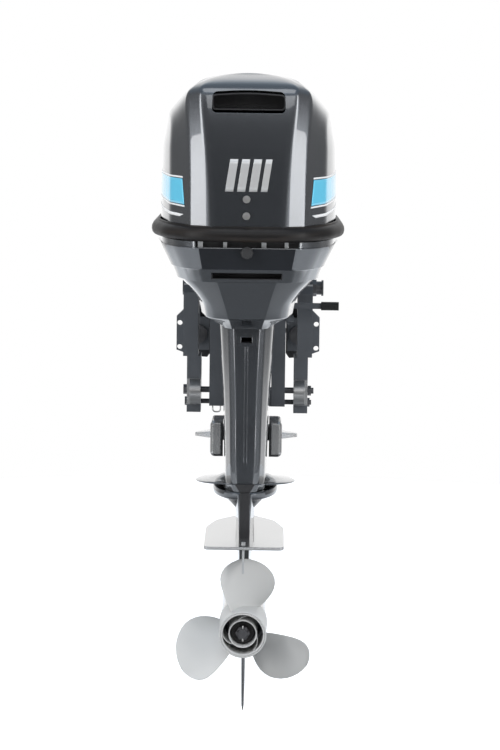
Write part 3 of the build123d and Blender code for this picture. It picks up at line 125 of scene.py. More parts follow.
def split(vector):
    """The three numbers of a vector."""
    made = Wire.node("SeparateXYZ", Vector=vector)
    return [Wire(output) for output in made.outputs]


def bump(height, strength, distance, edge=0.0010):
    """A bumped normal, with the edges rounded to a radius."""
    rounded = Wire(Wire.node("Bevel", {"samples": 4}, Radius=edge).outputs[0])
    made = Wire.node("Bump", Height=height, Strength=strength, Distance=distance, Normal=rounded)
    return Wire(made.outputs[0])


def material(name, make):
    """A material whose shader inputs come from a function that returns them by name."""
    made = bpy.data.materials.new(name)
    made.use_nodes = True
    made.node_tree.nodes.clear()
    Wire.tree = made.node_tree
    inputs = make()
    shader = Wire.node("BsdfPrincipled", **{key.replace(" ", "_"): value for key, value in inputs.items()})
    output = Wire.node("OutputMaterial")
    made.node_tree.links.new(shader.outputs[0], output.inputs[0])
    return made


def grey(level, tint=(1.0, 1.0, 1.0)):
    """A colour of one brightness, slightly tinted."""
    return (level * tint[0], level * tint[1], level * tint[2], 1.0)


# ---------------------------------------------------------------- finishes
SLATE = (0.90, 0.98, 1.10)


def gloss_paint():
    """Metallic graphite lacquer: fine flakes under a clear coat."""
    flakes = noise(3200.0, 1.0)
    base = mixed(flakes.above(0.40, 0.30), grey(0.040, SLATE), grey(0.105, SLATE))
    base = mixed(noise(5.0, 2.0) * 0.3, base, grey(0.085, SLATE))
    return {
        "Base Color": base,
        "Metallic": 0.70,
        "Roughness": 0.22 + noise(7.0, 2.0) * 0.05,
        "Coat Weight": 1.0,
        "Coat Roughness": 0.025,
        "Normal": bump(flakes, 0.012, 0.0003, 0.0014),
    }


def plate_paint():
    """The graphite lacquer made far lighter and more metallic, as a painted reflection on flat castings."""
    inputs = gloss_paint()
    inputs["Metallic"] = 0.85
    # Painted reflection: a far lighter grey than the same graphite paint on the rest of the casing
    inputs["Base Color"] = mixed(noise(6.0, 2.0), grey(0.28), grey(0.36))
    return inputs


def satin_paint():
    """Satin graphite paint on a sand-cast surface."""
    grain = noise(900.0, 3.0)
    base = mixed(noise(14.0, 3.0), grey(0.070, SLATE), grey(0.115, SLATE))
    return {
        "Base Color": base,
        "Metallic": 0.35,
        "Roughness": 0.40 + grain * 0.16,
        "Normal": bump(grain, 0.16, 0.0006),
    }


# The pin bosses of the clamp brackets, which get a painted highlight: top, foot and forward end, in metres
BOSS_TOP, BOSS_FOOT, BOSS_FRONT = -0.080, -0.134, -0.046


def bracket_paint():
    """Satin graphite paint, with a painted highlight on the lower pin bosses: lighter, more metallic and
    smoother there.
    """
    grain = noise(900.0, 3.0)
    _, y, z = split(object_coords())
    boss = (z * -1.0).above(-BOSS_TOP, 0.003) * z.above(BOSS_FOOT, 0.002)
    boss = boss * (y * -1.0).above(-BOSS_FRONT, 0.004)
    # Painted highlight: the bosses are painted light grey and metallic, standing in for light catching them
    boss_highlight = boss * (0.86 + noise(60.0, 4.0) * 0.14)
    base = mixed(noise(14.0, 3.0), grey(0.080, SLATE), grey(0.130, SLATE))
    return {
        "Base Color": mixed(boss_highlight, base, grey(0.40)),
        "Metallic": 0.35 + boss_highlight * 0.6,
        "Roughness": 0.40 + grain * 0.16 - boss_highlight * 0.12,
        "Normal": bump(grain, 0.16, 0.0006),
    }


def stripe_foil():
    """Blue foil that runs from deep to pale along its length."""
    _, y, _ = split(object_coords())
    run = (y * -1.0).above(0.14, 0.26)
    return {
        "Base Color": mixed(run, (0.015, 0.16, 0.34, 1.0), (0.10, 0.52, 0.74, 1.0)),
        "Metallic": 0.15,
        "Roughness": 0.22 + noise(400.0) * 0.06,
        "Coat Weight": 0.8,
    }


def silver_foil():
    """Silver-grey foil with a fine brushed grain."""
    grain = noise(500.0, 2.0, stretch=(8.0, 1.0, 1.0))
    return {
        "Base Color": mixed(grain, grey(0.40), grey(0.50)),
        "Metallic": 0.3,
        "Roughness": 0.30 + grain * 0.1,
    }


def white_foil():
    """White edging foil."""
    return {
        "Base Color": mixed(noise(300.0), grey(0.72), grey(0.80)),
        "Roughness": 0.28 + noise(200.0) * 0.08,
    }


def dark_moulding():
    """Satin blue-black moulded plastic with a fine grain."""
    grain = noise(1500.0, 2.0)
    return {
        "Base Color": mixed(noise(20.0), (0.005, 0.006, 0.008, 1.0), (0.010, 0.012, 0.016, 1.0)),
        "Roughness": 0.42 + grain * 0.18,
        "Specular IOR Level": 0.2,
        "Normal": bump(grain, 0.12, 0.0004),
    }


def black_plastic():
    """Matt black plastic."""
    grain = noise(1200.0, 2.0)
    return {
        "Base Color": mixed(noise(30.0), (0.008, 0.008, 0.009, 1.0), (0.018, 0.018, 0.020, 1.0)),
        "Roughness": 0.48 + grain * 0.2,
        "Normal": bump(grain, 0.2, 0.0005),
    }


def band_rubber():
    """Brown-black extruded rubber, dulled with a faint bloom along its length."""
    bloom = noise(9.0, 4.0, stretch=(1.0, 1.0, 8.0))
    return {
        "Base Color": mixed(bloom.above(0.42, 0.3), (0.005, 0.004, 0.004, 1.0), (0.020, 0.015, 0.012, 1.0)),
        "Roughness": 0.36 + noise(60.0, 4.0) * 0.20,
        "Specular IOR Level": 0.25,
        "Normal": bump(noise(500.0, 2.0), 0.08, 0.0004),
    }


def soft_rubber():
    """Plain black rubber."""
    return {
        "Base Color": mixed(noise(25.0), (0.010, 0.010, 0.010, 1.0), (0.022, 0.021, 0.020, 1.0)),
        "Roughness": 0.62 + noise(80.0) * 0.2,
        "Normal": bump(noise(700.0, 2.0), 0.15, 0.0004),
    }


def knurled_rubber():
    """Rubber grip with a raised criss-cross pattern."""
    x, y, z = split(object_coords())
    weave = ((x + z + y) * 1400.0).maths("SINE") * ((x - z - y) * 1400.0).maths("SINE")
    return {
        "Base Color": mixed(weave.above(-0.3, 0.6), (0.006, 0.006, 0.006, 1.0), (0.020, 0.020, 0.020, 1.0)),
        "Roughness": 0.7 - weave.above(0.0, 0.5) * 0.2,
        "Normal": bump(weave, 0.8, 0.0012),
    }


def wheel_paint():
    """Light silver-grey satin paint of the propeller."""
    cloud = noise(9.0, 3.0)
    return {
        "Base Color": mixed(cloud, (0.50, 0.50, 0.492, 1.0), (0.58, 0.58, 0.572, 1.0)),
        "Metallic": 0.05,
        "Roughness": 0.44 + noise(300.0, 3.0) * 0.12,
        "Normal": bump(noise(1100.0, 2.0), 0.05, 0.0004),
    }


def bare_steel():
    """Zinc-plated or stainless steel with fine turning marks."""
    marks = noise(700.0, 2.0, stretch=(1.0, 1.0, 6.0))
    return {
        "Base Color": mixed(noise(35.0), (0.42, 0.42, 0.42, 1.0), (0.62, 0.61, 0.59, 1.0)),
        "Metallic": 1.0,
        "Roughness": 0.24 + marks * 0.2,
        "Normal": bump(marks, 0.06, 0.0003),
    }


def dark_steel():
    """Blackened steel of bolts and pins."""
    marks = noise(600.0, 2.0)
    return {
        "Base Color": mixed(noise(45.0), (0.06, 0.06, 0.065, 1.0), (0.16, 0.16, 0.165, 1.0)),
        "Metallic": 0.9,
        "Roughness": 0.34 + marks * 0.2,
        "Normal": bump(marks, 0.08, 0.0003),
    }


def raw_alloy():
    """Cast and machined aluminium."""
    grain = noise(800.0, 3.0)
    return {
        "Base Color": mixed(noise(18.0, 3.0), (0.44, 0.45, 0.46, 1.0), (0.60, 0.61, 0.62, 1.0)),
        "Metallic": 0.9,
        "Roughness": 0.36 + grain * 0.2,
        "Normal": bump(grain, 0.14, 0.0005),
    }


def gold_steel():
    """Yellow-passivated screws."""
    return {
        "Base Color": mixed(noise(50.0), (0.42, 0.36, 0.22, 1.0), (0.66, 0.60, 0.45, 1.0)),
        "Metallic": 1.0,
        "Roughness": 0.2 + noise(300.0) * 0.18,
        "Normal": bump(noise(500.0), 0.05, 0.0003),
    }


def floor_tone(near, far):
    """A floor tone: even for the camera; in reflections dim near the motor and bright further out."""
    x, y, _ = split(object_coords())
    away = (x * x + (y + 0.55) * (y + 0.55)).above(0.30, 1.0)
    seen = Wire(Wire.node("LightPath").outputs["Is Camera Ray"])
    cloud = noise(1.5) * 0.02
    reflected = mixed(away + cloud, grey(near), grey(far * 0.9))
    return mixed(seen, reflected, mixed(cloud, grey(far), grey(far * 0.95)))


def floor_paint():
    """Pale matt floor paint that glows a little, so that the floor stays even."""
    return {
        "Base Color": floor_tone(0.30, 0.94),
        "Roughness": 0.85 + noise(3.0) * 0.1,
        "Emission Color": floor_tone(0.08, 1.0),
        "Emission Strength": 0.55,
    }


FINISHES = {
    maker.__name__: material(maker.__name__, maker)
    for maker in (
        gloss_paint, plate_paint, satin_paint, dark_moulding, black_plastic, band_rubber, soft_rubber,
        knurled_rubber, wheel_paint, bare_steel, dark_steel, raw_alloy, gold_steel, bracket_paint,
        stripe_foil, silver_foil, white_foil, floor_paint,
    )
}


# ---------------------------------------------------------------- mesh tools
def piece(name, verts, faces, finish, smooth=35.0):
    """A mesh object in a finish, shaded smooth except at sharp edges."""
    mesh = bpy.data.meshes.new(name)
    mesh.from_pydata([tuple(v) for v in verts], [], faces)
    return adopt(name, mesh, finish, smooth)


def adopt(name, mesh, finish, smooth=35.0):
    """Puts a mesh in the scene as a piece."""
    mesh.name = name
    mesh.transform(Matrix.Scale(MM, 4))
    mesh.materials.clear()
    mesh.materials.append(FINISHES[finish])
    mesh.validate()
    mesh.shade_smooth()
    mesh.set_sharp_from_angle(angle=math.radians(smooth))
    made = bpy.data.objects.new(name, mesh)
    bpy.context.scene.collection.objects.link(made)
    return made


def settle(obj):
    """Applies a piece's modifiers, so that it is a plain mesh."""
    evaluated = obj.evaluated_get(bpy.context.evaluated_depsgraph_get())
    mesh = bpy.data.meshes.new_from_object(evaluated)
    obj.modifiers.clear()
    obj.data = mesh
    return obj


def place(obj, body, slot, *nodes):
    """The piece rides on a body and stands for CAD nodes, which it hides; the slot is not used."""
    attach(obj, body)
    if nodes:
        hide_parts(*nodes)
    return obj


def tidy_mesh(obj):
    """Merges doubles and turns the faces outwards."""
    mesh = bmesh.new()
    mesh.from_mesh(obj.data)
    bmesh.ops.remove_doubles(mesh, verts=mesh.verts, dist=0.000005)
    bmesh.ops.recalc_face_normals(mesh, faces=mesh.faces)
    mesh.to_mesh(obj.data)
    mesh.free()
    return obj


def smooth_between(keys, at):
    """A smooth value from (place, value) keys, without overshoot."""
    if at <= keys[0][0]:
        return keys[0][1]
    if at >= keys[-1][0]:
        return keys[-1][1]
    slopes = [(b[1] - a[1]) / (b[0] - a[0]) for a, b in zip(keys, keys[1:])]

    def tangent(n):
        if n == 0 or n == len(slopes):
            return slopes[min(n, len(slopes) - 1)]
        before, after = slopes[n - 1], slopes[n]
        return 0.0 if before * after <= 0 else 2.0 * before * after / (before + after)

    for n, (a, b) in enumerate(zip(keys, keys[1:])):
        if a[0] <= at <= b[0]:
            span = b[0] - a[0]
            t = (at - a[0]) / span
            left = a[1] * (2 * t**3 - 3 * t**2 + 1) + span * tangent(n) * (t**3 - 2 * t**2 + t)
            return left + b[1] * (3 * t**2 - 2 * t**3) + span * tangent(n + 1) * (t**3 - t**2)
    return keys[-1][1]


def straight_between(keys, at):
    """A value from (place, value) keys, in straight lines."""
    for a, b in zip(keys, keys[1:]):
        if a[0] <= at <= b[0]:
            return a[1] + (b[1] - a[1]) * (at - a[0]) / (b[0] - a[0])
    return keys[0][1] if at < keys[0][0] else keys[-1][1]


def round_half(corners, radii, arc=6, run=4):
    """Half an outline from aft centre to front centre, its corners rounded, as (x, y) points."""
    points = [Vector(corners[0])]
    for n in range(1, len(corners) - 1):
        here, before, after = (Vector(corners[k]) for k in (n, n - 1, n + 1))
        into, out = (here - before), (after - here)
        turn = into.angle(out)
        reach = min(radii[n - 1] * math.tan(turn / 2), 0.48 * into.length, 0.48 * out.length)
        first, last = here - into.normalized() * reach, here + out.normalized() * reach
        for k in range(1, run):
            points.append(points[-1].lerp(first, 1.0 / (run - k + 1)))
        for k in range(arc + 1):
            t = k / arc
            points.append(first * (1 - t) ** 2 + here * 2 * t * (1 - t) + last * t**2)
    end = Vector(corners[-1])
    for k in range(1, run + 1):
        points.append(points[-1].lerp(end, 1.0 / (run - k + 1)))
    return points


def both_sides(half):
    """A closed outline from its starboard half."""
    return half + [Vector((-p.x, p.y)) for p in reversed(half[1:-1])]


def skin(rings, capped=False):
    """Vertices and faces through rings of equal length, with or without the two end faces."""
    count = len(rings[0])
    verts = [v for ring in rings for v in ring]
    faces = []
    for level in range(len(rings) - 1):
        for n in range(count):
            a = level * count + n
            b = level * count + (n + 1) % count
            faces.append((a, b, b + count, a + count))
    if capped:
        faces.append(tuple(reversed(range(count))))
        faces.append(tuple(range(len(verts) - count, len(verts))))
    return verts, faces


def hoop(rings):
    """Vertices and faces through rings, the last of which joins the first."""
    return skin(rings + rings[:1])


def gathered(surfaces):
    """Several surfaces as one."""
    verts, faces = [], []
    for more, more_faces in surfaces:
        base = len(verts)
        verts += more
        faces += [tuple(base + n for n in face) for face in more_faces]
    return verts, faces


def solid(name, surface, finish, body, slot, *nodes, smooth=35.0):
    """A tidied piece made from vertices and faces, on its body."""
    return place(tidy_mesh(piece(name, *surface, finish, smooth)), body, slot, *nodes)


def rect(half, low, high):
    """An (x, z) rectangle about the centre plane."""
    return [(-half, low), (half, low), (half, high), (-half, high)]


def slices(outline, cuts, middle=(0, 0), keep_height=False):
    """Rings of an (x, z) outline, each scaled about a middle by a share and set at a place on Y."""
    rings = []
    for share, y in cuts:
        tall = 1.0 if keep_height else share
        rings.append([
            (middle[0] + (x - middle[0]) * share, y, middle[1] + (z - middle[1]) * tall) for x, z in outline
        ])
    return rings


def shell(rings, thickness):
    """A wall through rings, with an inner skin and joined edges."""
    count = len(rings[0])
    verts, faces = skin(rings)
    mesh = bmesh.new()
    for v in verts:
        mesh.verts.new(v)
    mesh.verts.ensure_lookup_table()
    for face in faces:
        mesh.faces.new([mesh.verts[n] for n in face])
    mesh.normal_update()
    outer = list(mesh.verts)
    inner = [mesh.verts.new(v.co - v.normal * thickness) for v in outer]
    for face in faces:
        mesh.faces.new([inner[n] for n in reversed(face)])
    last = len(verts) - count
    for n in range(count):
        m = (n + 1) % count
        mesh.faces.new([outer[m], outer[n], inner[n], inner[m]])
        mesh.faces.new([outer[last + n], outer[last + m], inner[last + m], inner[last + n]])
    made = bpy.data.meshes.new("shell")
    mesh.to_mesh(made)
    mesh.free()
    return made


def carve(obj, *cutters):
    """Cuts closed meshes out of a piece."""
    for cutter in cutters:
        change = obj.modifiers.new("cut", "BOOLEAN")
        change.operation = "DIFFERENCE"
        change.solver = "EXACT"
        change.object = cutter
    bpy.context.view_layer.update()
    settle(obj)
    for cutter in cutters:
        bpy.data.objects.remove(cutter)
    return obj


# ---------------------------------------------------------------- repeated fixings
def bolt_tree():
    """A bolt head on a washer at each point, facing one way."""
    tree = bpy.data.node_groups.new("bolt_heads", "GeometryNodeTree")
    sockets = (
        ("Places", "Geometry"), ("Head Radius", "Float"), ("Head Height", "Float"),
        ("Washer Radius", "Float"), ("Washer Height", "Float"), ("Head Sides", "Int"),
        ("Facing", "Vector"), ("Finish", "Material"),
    )
    for name, kind in sockets:
        tree.interface.new_socket(name, in_out="INPUT", socket_type="NodeSocket" + kind)
    tree.interface.new_socket("Bolts", in_out="OUTPUT", socket_type="NodeSocketGeometry")
    given = tree.nodes.new("NodeGroupInput").outputs

    def disc(sides, radius, height, base):
        made = add_node(tree, "GeometryNodeMeshCylinder", _0=sides, Radius=radius, Depth=height)
        lift = add_node(tree, "ShaderNodeMath", {"operation": "MULTIPLY_ADD"}, _0=height, _1=0.5, _2=base)
        shift = add_node(tree, "ShaderNodeCombineXYZ", Z=lift.outputs[0])
        moved = add_node(
            tree, "GeometryNodeTransform", Geometry=made.outputs["Mesh"], Translation=shift.outputs[0]
        )
        return moved.outputs[0]

    washer = disc(32, given["Washer Radius"], given["Washer Height"], 0.0)
    head = disc(given["Head Sides"], given["Head Radius"], given["Head Height"], given["Washer Height"])
    joined = add_node(tree, "GeometryNodeJoinGeometry", Geometry=washer)
    tree.links.new(head, joined.inputs[0])
    turned = add_node(tree, "FunctionNodeAlignRotationToVector", {"axis": "Z"}, Vector=given["Facing"])
    placed = add_node(
        tree, "GeometryNodeInstanceOnPoints", Points=given["Places"], Instance=joined.outputs[0],
        Rotation=turned.outputs[0],
    )
    real = add_node(tree, "GeometryNodeRealizeInstances", Geometry=placed.outputs[0])
    finished = add_node(
        tree, "GeometryNodeSetMaterial", Geometry=real.outputs[0], Material=given["Finish"]
    )
    out = tree.nodes.new("NodeGroupOutput")
    tree.links.new(finished.outputs[0], out.inputs[0])
    return tree


BOLT_TREE = bolt_tree()


def bolts(name, places, facing, finish, head, height, washer, sides):
    """Bolt heads at places in mm, made from the geometry nodes as one plain mesh."""
    points = bpy.data.meshes.new(name)
    points.from_pydata([Vector(p) * MM for p in places], [], [])
    obj = bpy.data.objects.new(name, points)
    bpy.context.scene.collection.objects.link(obj)
    change = obj.modifiers.new("bolts", "NODES")
    change.node_group = BOLT_TREE
    wanted = {
        "Head Radius": head * MM, "Head Height": height * MM, "Washer Radius": washer * MM,
        "Washer Height": 1.2 * MM, "Head Sides": sides, "Facing": facing, "Finish": FINISHES[finish],
    }
    for item in BOLT_TREE.interface.items_tree:
        if item.name in wanted:
            change[item.identifier] = wanted[item.name]
    bpy.context.view_layer.update()
    settle(obj)
    obj.data.set_sharp_from_angle(angle=math.radians(35.0))
    return obj


# ---------------------------------------------------------------- hood
# One row per ring of the hood's cage, from rim to crown: height and edge aft, inner and outer crease aft;
# height and half width at the side, share of that width at the quarters, drop forward;
# height and edge in front, and step outside the outer crease
HOOD_RINGS = (
    (238, -463.0, 67, 106, 238, 171.5, 0.85, 0, 238, 57, 3.0),
    (300, -463.5, 69, 107, 300, 171.0, 0.85, 0, 300, 57, 3.2),
    (354, -463.0, 72, 108, 354, 169.5, 0.86, 0, 352, 53, 3.6),
    (404, -460.5, 76, 110, 404, 168.0, 0.87, 2, 396, 46, 4.0),
    (464, -454.0, 83, 113, 470, 155.0, 0.93, 10, 442, 28, 5.0),
    (503, -445.5, 88, 115, 508, 122.0, 0.985, 14, 474, 2, 5.0),
    (515, -440.0, 89, 109, 518, 111.0, 0.985, 14, 482, -5, 1.4),
    (531, -416.0, 85, 90, 532, 90.0, 0.98, 15, 496, -34, 0.4),
    (541, -360.0, 46, 50, 540, 50.0, 0.98, 16, 508, -84, 0.4),
)
CROWN = 3.4                    # rise of the crown above the last ring


def hood_ring(row):
    """The corners of one ring, aft centre to front centre, on the starboard side."""
    aft_z, aft, inner, outer, side_z, half, quarter, drop, front_z, front, step = row
    swing = 70 if half > 125 else 44    # the quarters stand further forward where the hood is wide
    return [
        (0, aft, aft_z),
        (inner, aft + 1.5, aft_z),
        (outer, aft + 19, aft_z - 1),
        (outer + 0.75 * step, aft + 19 + step, aft_z - 1),
        (half * quarter, aft + swing, 0.3 * aft_z + 0.7 * side_z),
        (half, -300, side_z),
        (half * 0.965, -130, side_z - drop),
        (half * (quarter - 0.03), front - 46, 0.5 * (side_z - drop + front_z)),
        (half * 0.62 + step, front - 10 - step, front_z),
        (half * 0.62, front - 9, front_z),
        (half * 0.40, front - 2, front_z),
        (0, front, front_z),
    ]


def hood_cage():
    """The hood's outer surface as a creased cage, subdivided."""
    mesh = bmesh.new()
    crease = mesh.edges.layers.float.new("crease_edge")
    rings = []
    for row in HOOD_RINGS:
        half = hood_ring(row)
        starboard = [mesh.verts.new(p) for p in half]
        port = [mesh.verts.new((-x, y, z)) for x, y, z in half[1:-1]]
        rings.append(starboard + port[::-1])
    count = len(rings[0])
    for low, high in zip(rings, rings[1:]):
        for n in range(count):
            m = (n + 1) % count
            mesh.faces.new((low[n], low[m], high[m], high[n]))
    top = rings[-1]
    last = count // 2
    ridge = [mesh.verts.new((0, top[n].co.y, top[n].co.z + CROWN)) for n in range(1, last)]
    for n in range(1, last - 1):
        mesh.faces.new((top[n], top[n + 1], ridge[n], ridge[n - 1]))
        mesh.faces.new((top[count - n - 1], top[count - n], ridge[n - 1], ridge[n]))
    mesh.faces.new((top[0], top[1], ridge[0]))
    mesh.faces.new((top[count - 1], top[0], ridge[0]))
    mesh.faces.new((top[last - 1], top[last], ridge[-1]))
    mesh.faces.new((top[last], top[last + 1], ridge[-1]))

    def sharpen(first, second, amount):
        edge = mesh.edges.get((first, second))
        if edge:
            edge[crease] = amount

    column_creases = {1: 0.88, 2: 0.9, 3: 0.9, 4: 0.62, 8: 0.7, 9: 0.7}
    for level, (low, high) in enumerate(zip(rings, rings[1:])):
        for column, amount in column_creases.items():
            top_level = {1: 6, 4: 3}.get(column, 5)
            if level <= top_level:
                for n in {column, (count - column) % count}:
                    sharpen(low[n], high[n], amount)
    ring_creases = {3: (4, 7, 0.5), 4: (4, 7, 0.62), 5: (4, 8, 0.5), 6: (3, 9, 0.5), 7: (3, 9, 0.35)}
    for level, (first, end, amount) in ring_creases.items():
        for column in range(first, end):
            n, m = column, column + 1
            sharpen(rings[level][n], rings[level][m], amount)
            sharpen(rings[level][(count - n) % count], rings[level][(count - m) % count], amount)
    made = bpy.data.meshes.new("hood_shell")
    bmesh.ops.recalc_face_normals(mesh, faces=mesh.faces)
    mesh.to_mesh(made)
    mesh.free()
    return made


def prism(name, outline, depth, taper=1.0):
    """A closed solid from an (x, z) outline between two places on Y, its far end scaled by a taper."""
    middle = sum((Vector(p) for p in outline), Vector((0, 0))) / len(outline)
    near = [(x, depth[0], z) for x, z in outline]
    far = slices(outline, [(taper, depth[1])], middle)[0]
    return tidy_mesh(piece(name, *skin([near, far], True), "black_plastic"))


SLOT_HALF, SLOT_LOW, SLOT_HIGH = 65.0, 481.0, 504.0
SLOT_ROUND = 0.24              # radius of its corners, as a share of its height
SLOT_ARCH = 3.0                # rise of its top edge


def corner_arc(x, z, radius, start):
    """A quarter turn of (x, z) points about a centre, from a direction in degrees."""
    turns = [math.radians(start + 90 * n / 8) for n in range(9)]
    return [(x + radius * math.cos(t), z + radius * math.sin(t)) for t in turns]


def slot_outline(grow):
    """The intake's outline: rounded ends and an arched top edge."""
    half, low, high = SLOT_HALF + grow, SLOT_LOW - grow, SLOT_HIGH + grow
    radius = SLOT_ROUND * (high - low)
    left, right = -half + radius, half - radius
    arch = [(right * (1 - n / 4), high + SLOT_ARCH * math.sin(math.pi * n / 8)) for n in range(1, 8)]
    return (
        corner_arc(left, low + radius, radius, 180)
        + corner_arc(right, low + radius, radius, 270)
        + corner_arc(right, high - radius, radius, 0)
        + arch
        + corner_arc(left, high - radius, radius, 90)
    )


def slot_rings(cuts):
    """Rings of the intake's outline, each grown by a distance and set at a place on Y."""
    return [[(x, y, z) for x, z in slot_outline(grow)] for grow, y in cuts]


def hood():
    """The hood's shell with its intake, and the dark liner inside it; returns the uncut surface."""
    made = adopt("hood_shell", hood_cage(), "gloss_paint", 30.0)
    smoothing = made.modifiers.new("round", "SUBSURF")
    smoothing.levels = smoothing.render_levels = 3
    wall = made.modifiers.new("wall", "SOLIDIFY")
    wall.thickness = 3.5 * MM
    wall.offset = -1.0
    bpy.context.view_layer.update()
    settle(made)
    surface = BVHTree.FromObject(made, bpy.context.evaluated_depsgraph_get())
    carve(
        made,
        prism("intake_cut", slot_outline(0.0), (-480.0, -400.0)),
        prism("intake_bevel", slot_outline(10.0), (-480.0, -432.0), 0.86),
    )
    made.data.set_sharp_from_angle(angle=math.radians(28.0))
    place(made, "hood", "gloss_paint", "top_cowl")
    liner = hoop(slot_rings(((0.6, -444), (0.6, -398), (3.0, -398), (3.0, -444))))
    place(piece("intake_liner", *liner, "black_plastic"), "hood", "plastic")
    back = skin(slot_rings(((2.0, -401), (2.0, -398))), True)
    place(piece("intake_back", *back, "black_plastic"), "hood", "plastic")
    return surface


# ---------------------------------------------------------------- band and casings
def evened(outline, count=192, passes=7):
    """A closed outline at even spacing, its corners softened."""
    lengths = [(outline[(n + 1) % len(outline)] - p).length for n, p in enumerate(outline)]
    step = sum(lengths) / count
    points = []
    run = 0.0
    for n, length in enumerate(lengths):
        while run < length and len(points) < count:
            points.append(outline[n].lerp(outline[(n + 1) % len(outline)], run / length))
            run += step
        run -= length
    for _ in range(passes):
        points = [(points[n - 1] + points[n] * 2 + points[(n + 1) % count]) / 4 for n in range(count)]
    return points


def rim_outline():
    """The plan outline of the hood's rim, as (x, y) points."""
    _, aft, inner, outer, _, half, quarter, _, _, front, _ = HOOD_RINGS[0]
    corners = [
        (0, aft), (inner, aft + 1), (outer, aft + 15), (half * quarter, aft + 60), (half, -328),
        (half - 9, -130), (half * 0.82, front - 46), (half * 0.45, front - 4), (0, front),
    ]
    return evened(both_sides(round_half(corners, (12, 10, 60, 120, 160, 60, 30))))


def push(outline, distance):
    """An outline moved outwards by a distance."""
    count = len(outline)
    moved = []
    for n, here in enumerate(outline):
        along = (outline[(n + 1) % count] - outline[n - 1]).normalized()
        moved.append(here + Vector((along.y, -along.x)) * distance)
    return moved


def ring_at(outline, z, distance=0.0):
    """An outline, pushed out by a distance, at a height."""
    return [(p.x, p.y, z) for p in push(outline, distance)]


# Section of the rubber band: distance outside the hood's rim, and height
BAND_SECTION = (
    (-3.0, 236.5), (3.0, 235.6), (8.5, 236.6), (11.6, 240.0), (13.0, 245.5), (12.6, 251.5), (9.8, 257.0),
    (5.0, 260.6), (1.4, 261.8), (0.9, 264.4), (-3.0, 264.8),
)


def rubber_band():
    """The rubber band round the hood's rim."""
    rim = rim_outline()
    rings = [ring_at(rim, z, distance) for distance, z in BAND_SECTION]
    solid("hood_band", hoop(rings), "band_rubber", "hood", "rubber", "cowl_band", smooth=50.0)


def stack(levels, corners, radii, arc=8, run=5):
    """Rings up a casing: each level is a height and the numbers that its corners come from."""
    return [
        [(p.x, p.y, z) for p in both_sides(round_half(corners(*sizes), radii, arc, run))]
        for z, *sizes in levels
    ]


def finer(levels, parts):
    """The levels with smooth ones between them."""
    columns = [[(level[0], level[n]) for level in levels] for n in range(1, len(levels[0]))]
    out = []
    for low, high in zip(levels, levels[1:]):
        for k in range(parts):
            z = low[0] + (high[0] - low[0]) * k / parts
            out.append((z, *(smooth_between(column, z) for column in columns)))
    return out + [levels[-1]]


CASING_ANGLE = 32.0            # edges of the casings sharper than this stay sharp, in degrees


def walled(name, rings, thickness, finish):
    """A casing wall of a thickness inside the rings."""
    mesh = shell([[Vector(p) for p in ring] for ring in rings], thickness)
    return tidy_mesh(adopt(name, mesh, finish, CASING_ANGLE))


# Height, half width, aft and front edge of the lower casing, bottom up
PAN_LEVELS = (
    (157.5, 140.0, -438.0, 18.0), (166, 142.5, -443.5, 26), (181, 148.5, -452.4, 39),
    (182.4, 152.5, -453.2, 41), (186, 154.0, -454.0, 43), (195, 158.6, -455.8, 46),
    (205, 163.6, -457.6, 49), (214, 168.2, -459.2, 52), (220, 171.0, -460.6, 54),
    (223.0, 171.8, -461.4, 55), (224.2, 171.2, -461.0, 54), (224.8, 169.6, -459.4, 53),
    (235.2, 170.2, -460.0, 53),
)
GRAB_SLOT = (66, 163.5, 176.5)         # half width, bottom and top
BAND_GAP = (96.0, 224.6, 240.0)        # the gap under the band, aft
POSTS = ((-87, 4.5), (-41, 3.5), (31, 4.5), (73, 3.5))    # middle and half width of the posts in the gap
POST_Y = (-453.5, -446)
POST_Z = (224.5, 236.5)


def pan_corners(half, aft, front):
    """The lower casing's corners in plan."""
    return [
        (0, aft), (0.56 * half, aft + 1), (0.76 * half, aft + 22), (0.94 * half, aft + 78), (half, -285),
        (0.96 * half, -130), (0.72 * half, front - 38), (0.45 * half, front - 4), (0, front),
    ]


def lower_casing():
    """The rounded pan below the band, with its grab slot, and the posts and dark back of the gap above."""
    rings = stack(PAN_LEVELS, pan_corners, (30, 70, 120, 160, 160, 60, 30))
    pan = walled("lower_casing", rings, 3.5, "gloss_paint")
    carve(
        pan,
        prism("grab_cut", rect(*GRAB_SLOT), (-480.0, -400.0)),
        prism("gap_cut", rect(*BAND_GAP), (-480.0, -430.0)),
    )
    pan.data.set_sharp_from_angle(angle=math.radians(CASING_ANGLE))
    place(pan, "motor", "gloss_paint", "bottom_cowl")
    aft, front = POST_Y
    posts = []
    for x, wide in POSTS:
        foot = ((x - wide, aft), (x + wide, aft), (x + wide, front), (x - wide, front))
        posts.append(skin([[(*corner, z) for corner in foot] for z in POST_Z], True))
    solid("gap_posts", gathered(posts), "raw_alloy", "motor", "alloy")
    place(prism("gap_back", rect(104, 221, 236), (-447.5, -444.5)), "motor", "plastic")


# Height, half width, aft and front edge, half width of the flat aft facet, bottom up
APRON_LEVELS = (
    (58.5, 49, -351, -205, 28), (63, 55, -356, -204, 29), (71, 69, -368, -201, 31),
    (78.5, 84.5, -383, -198, 33), (81.5, 87.5, -388, -197, 34), (86, 88.2, -391, -197, 35),
    (106, 92.5, -402, -195, 40), (126, 106, -415, -187, 45.5), (142, 121, -427, -180, 50),
    (153, 132.5, -434.5, -175, 53.5), (157.2, 136.5, -437.4, -172, 55),
)


def apron_corners(half, aft, front, facet):
    """The apron's corners in plan."""
    return [
        (0, aft), (facet, aft + 1), (0.86 * half, aft + 0.34 * half), (half, 0.45 * aft + 0.55 * front),
        (0.96 * half, front), (0, front),
    ]


# Height, half width, aft and front edge, half width of the flat aft strip, bottom up
LEG_LEVELS = (
    (-258.5, 41, -340, -142, 11), (-244, 41, -339, -142, 15), (-190, 42, -338, -142, 17.5),
    (-120, 44, -337, -141, 18.5), (-54, 47, -338, -140.5, 20), (-10, 50, -339, -140, 21.5),
    (56, 54, -340, -140, 24), (150, 62, -336, -140, 28),
)


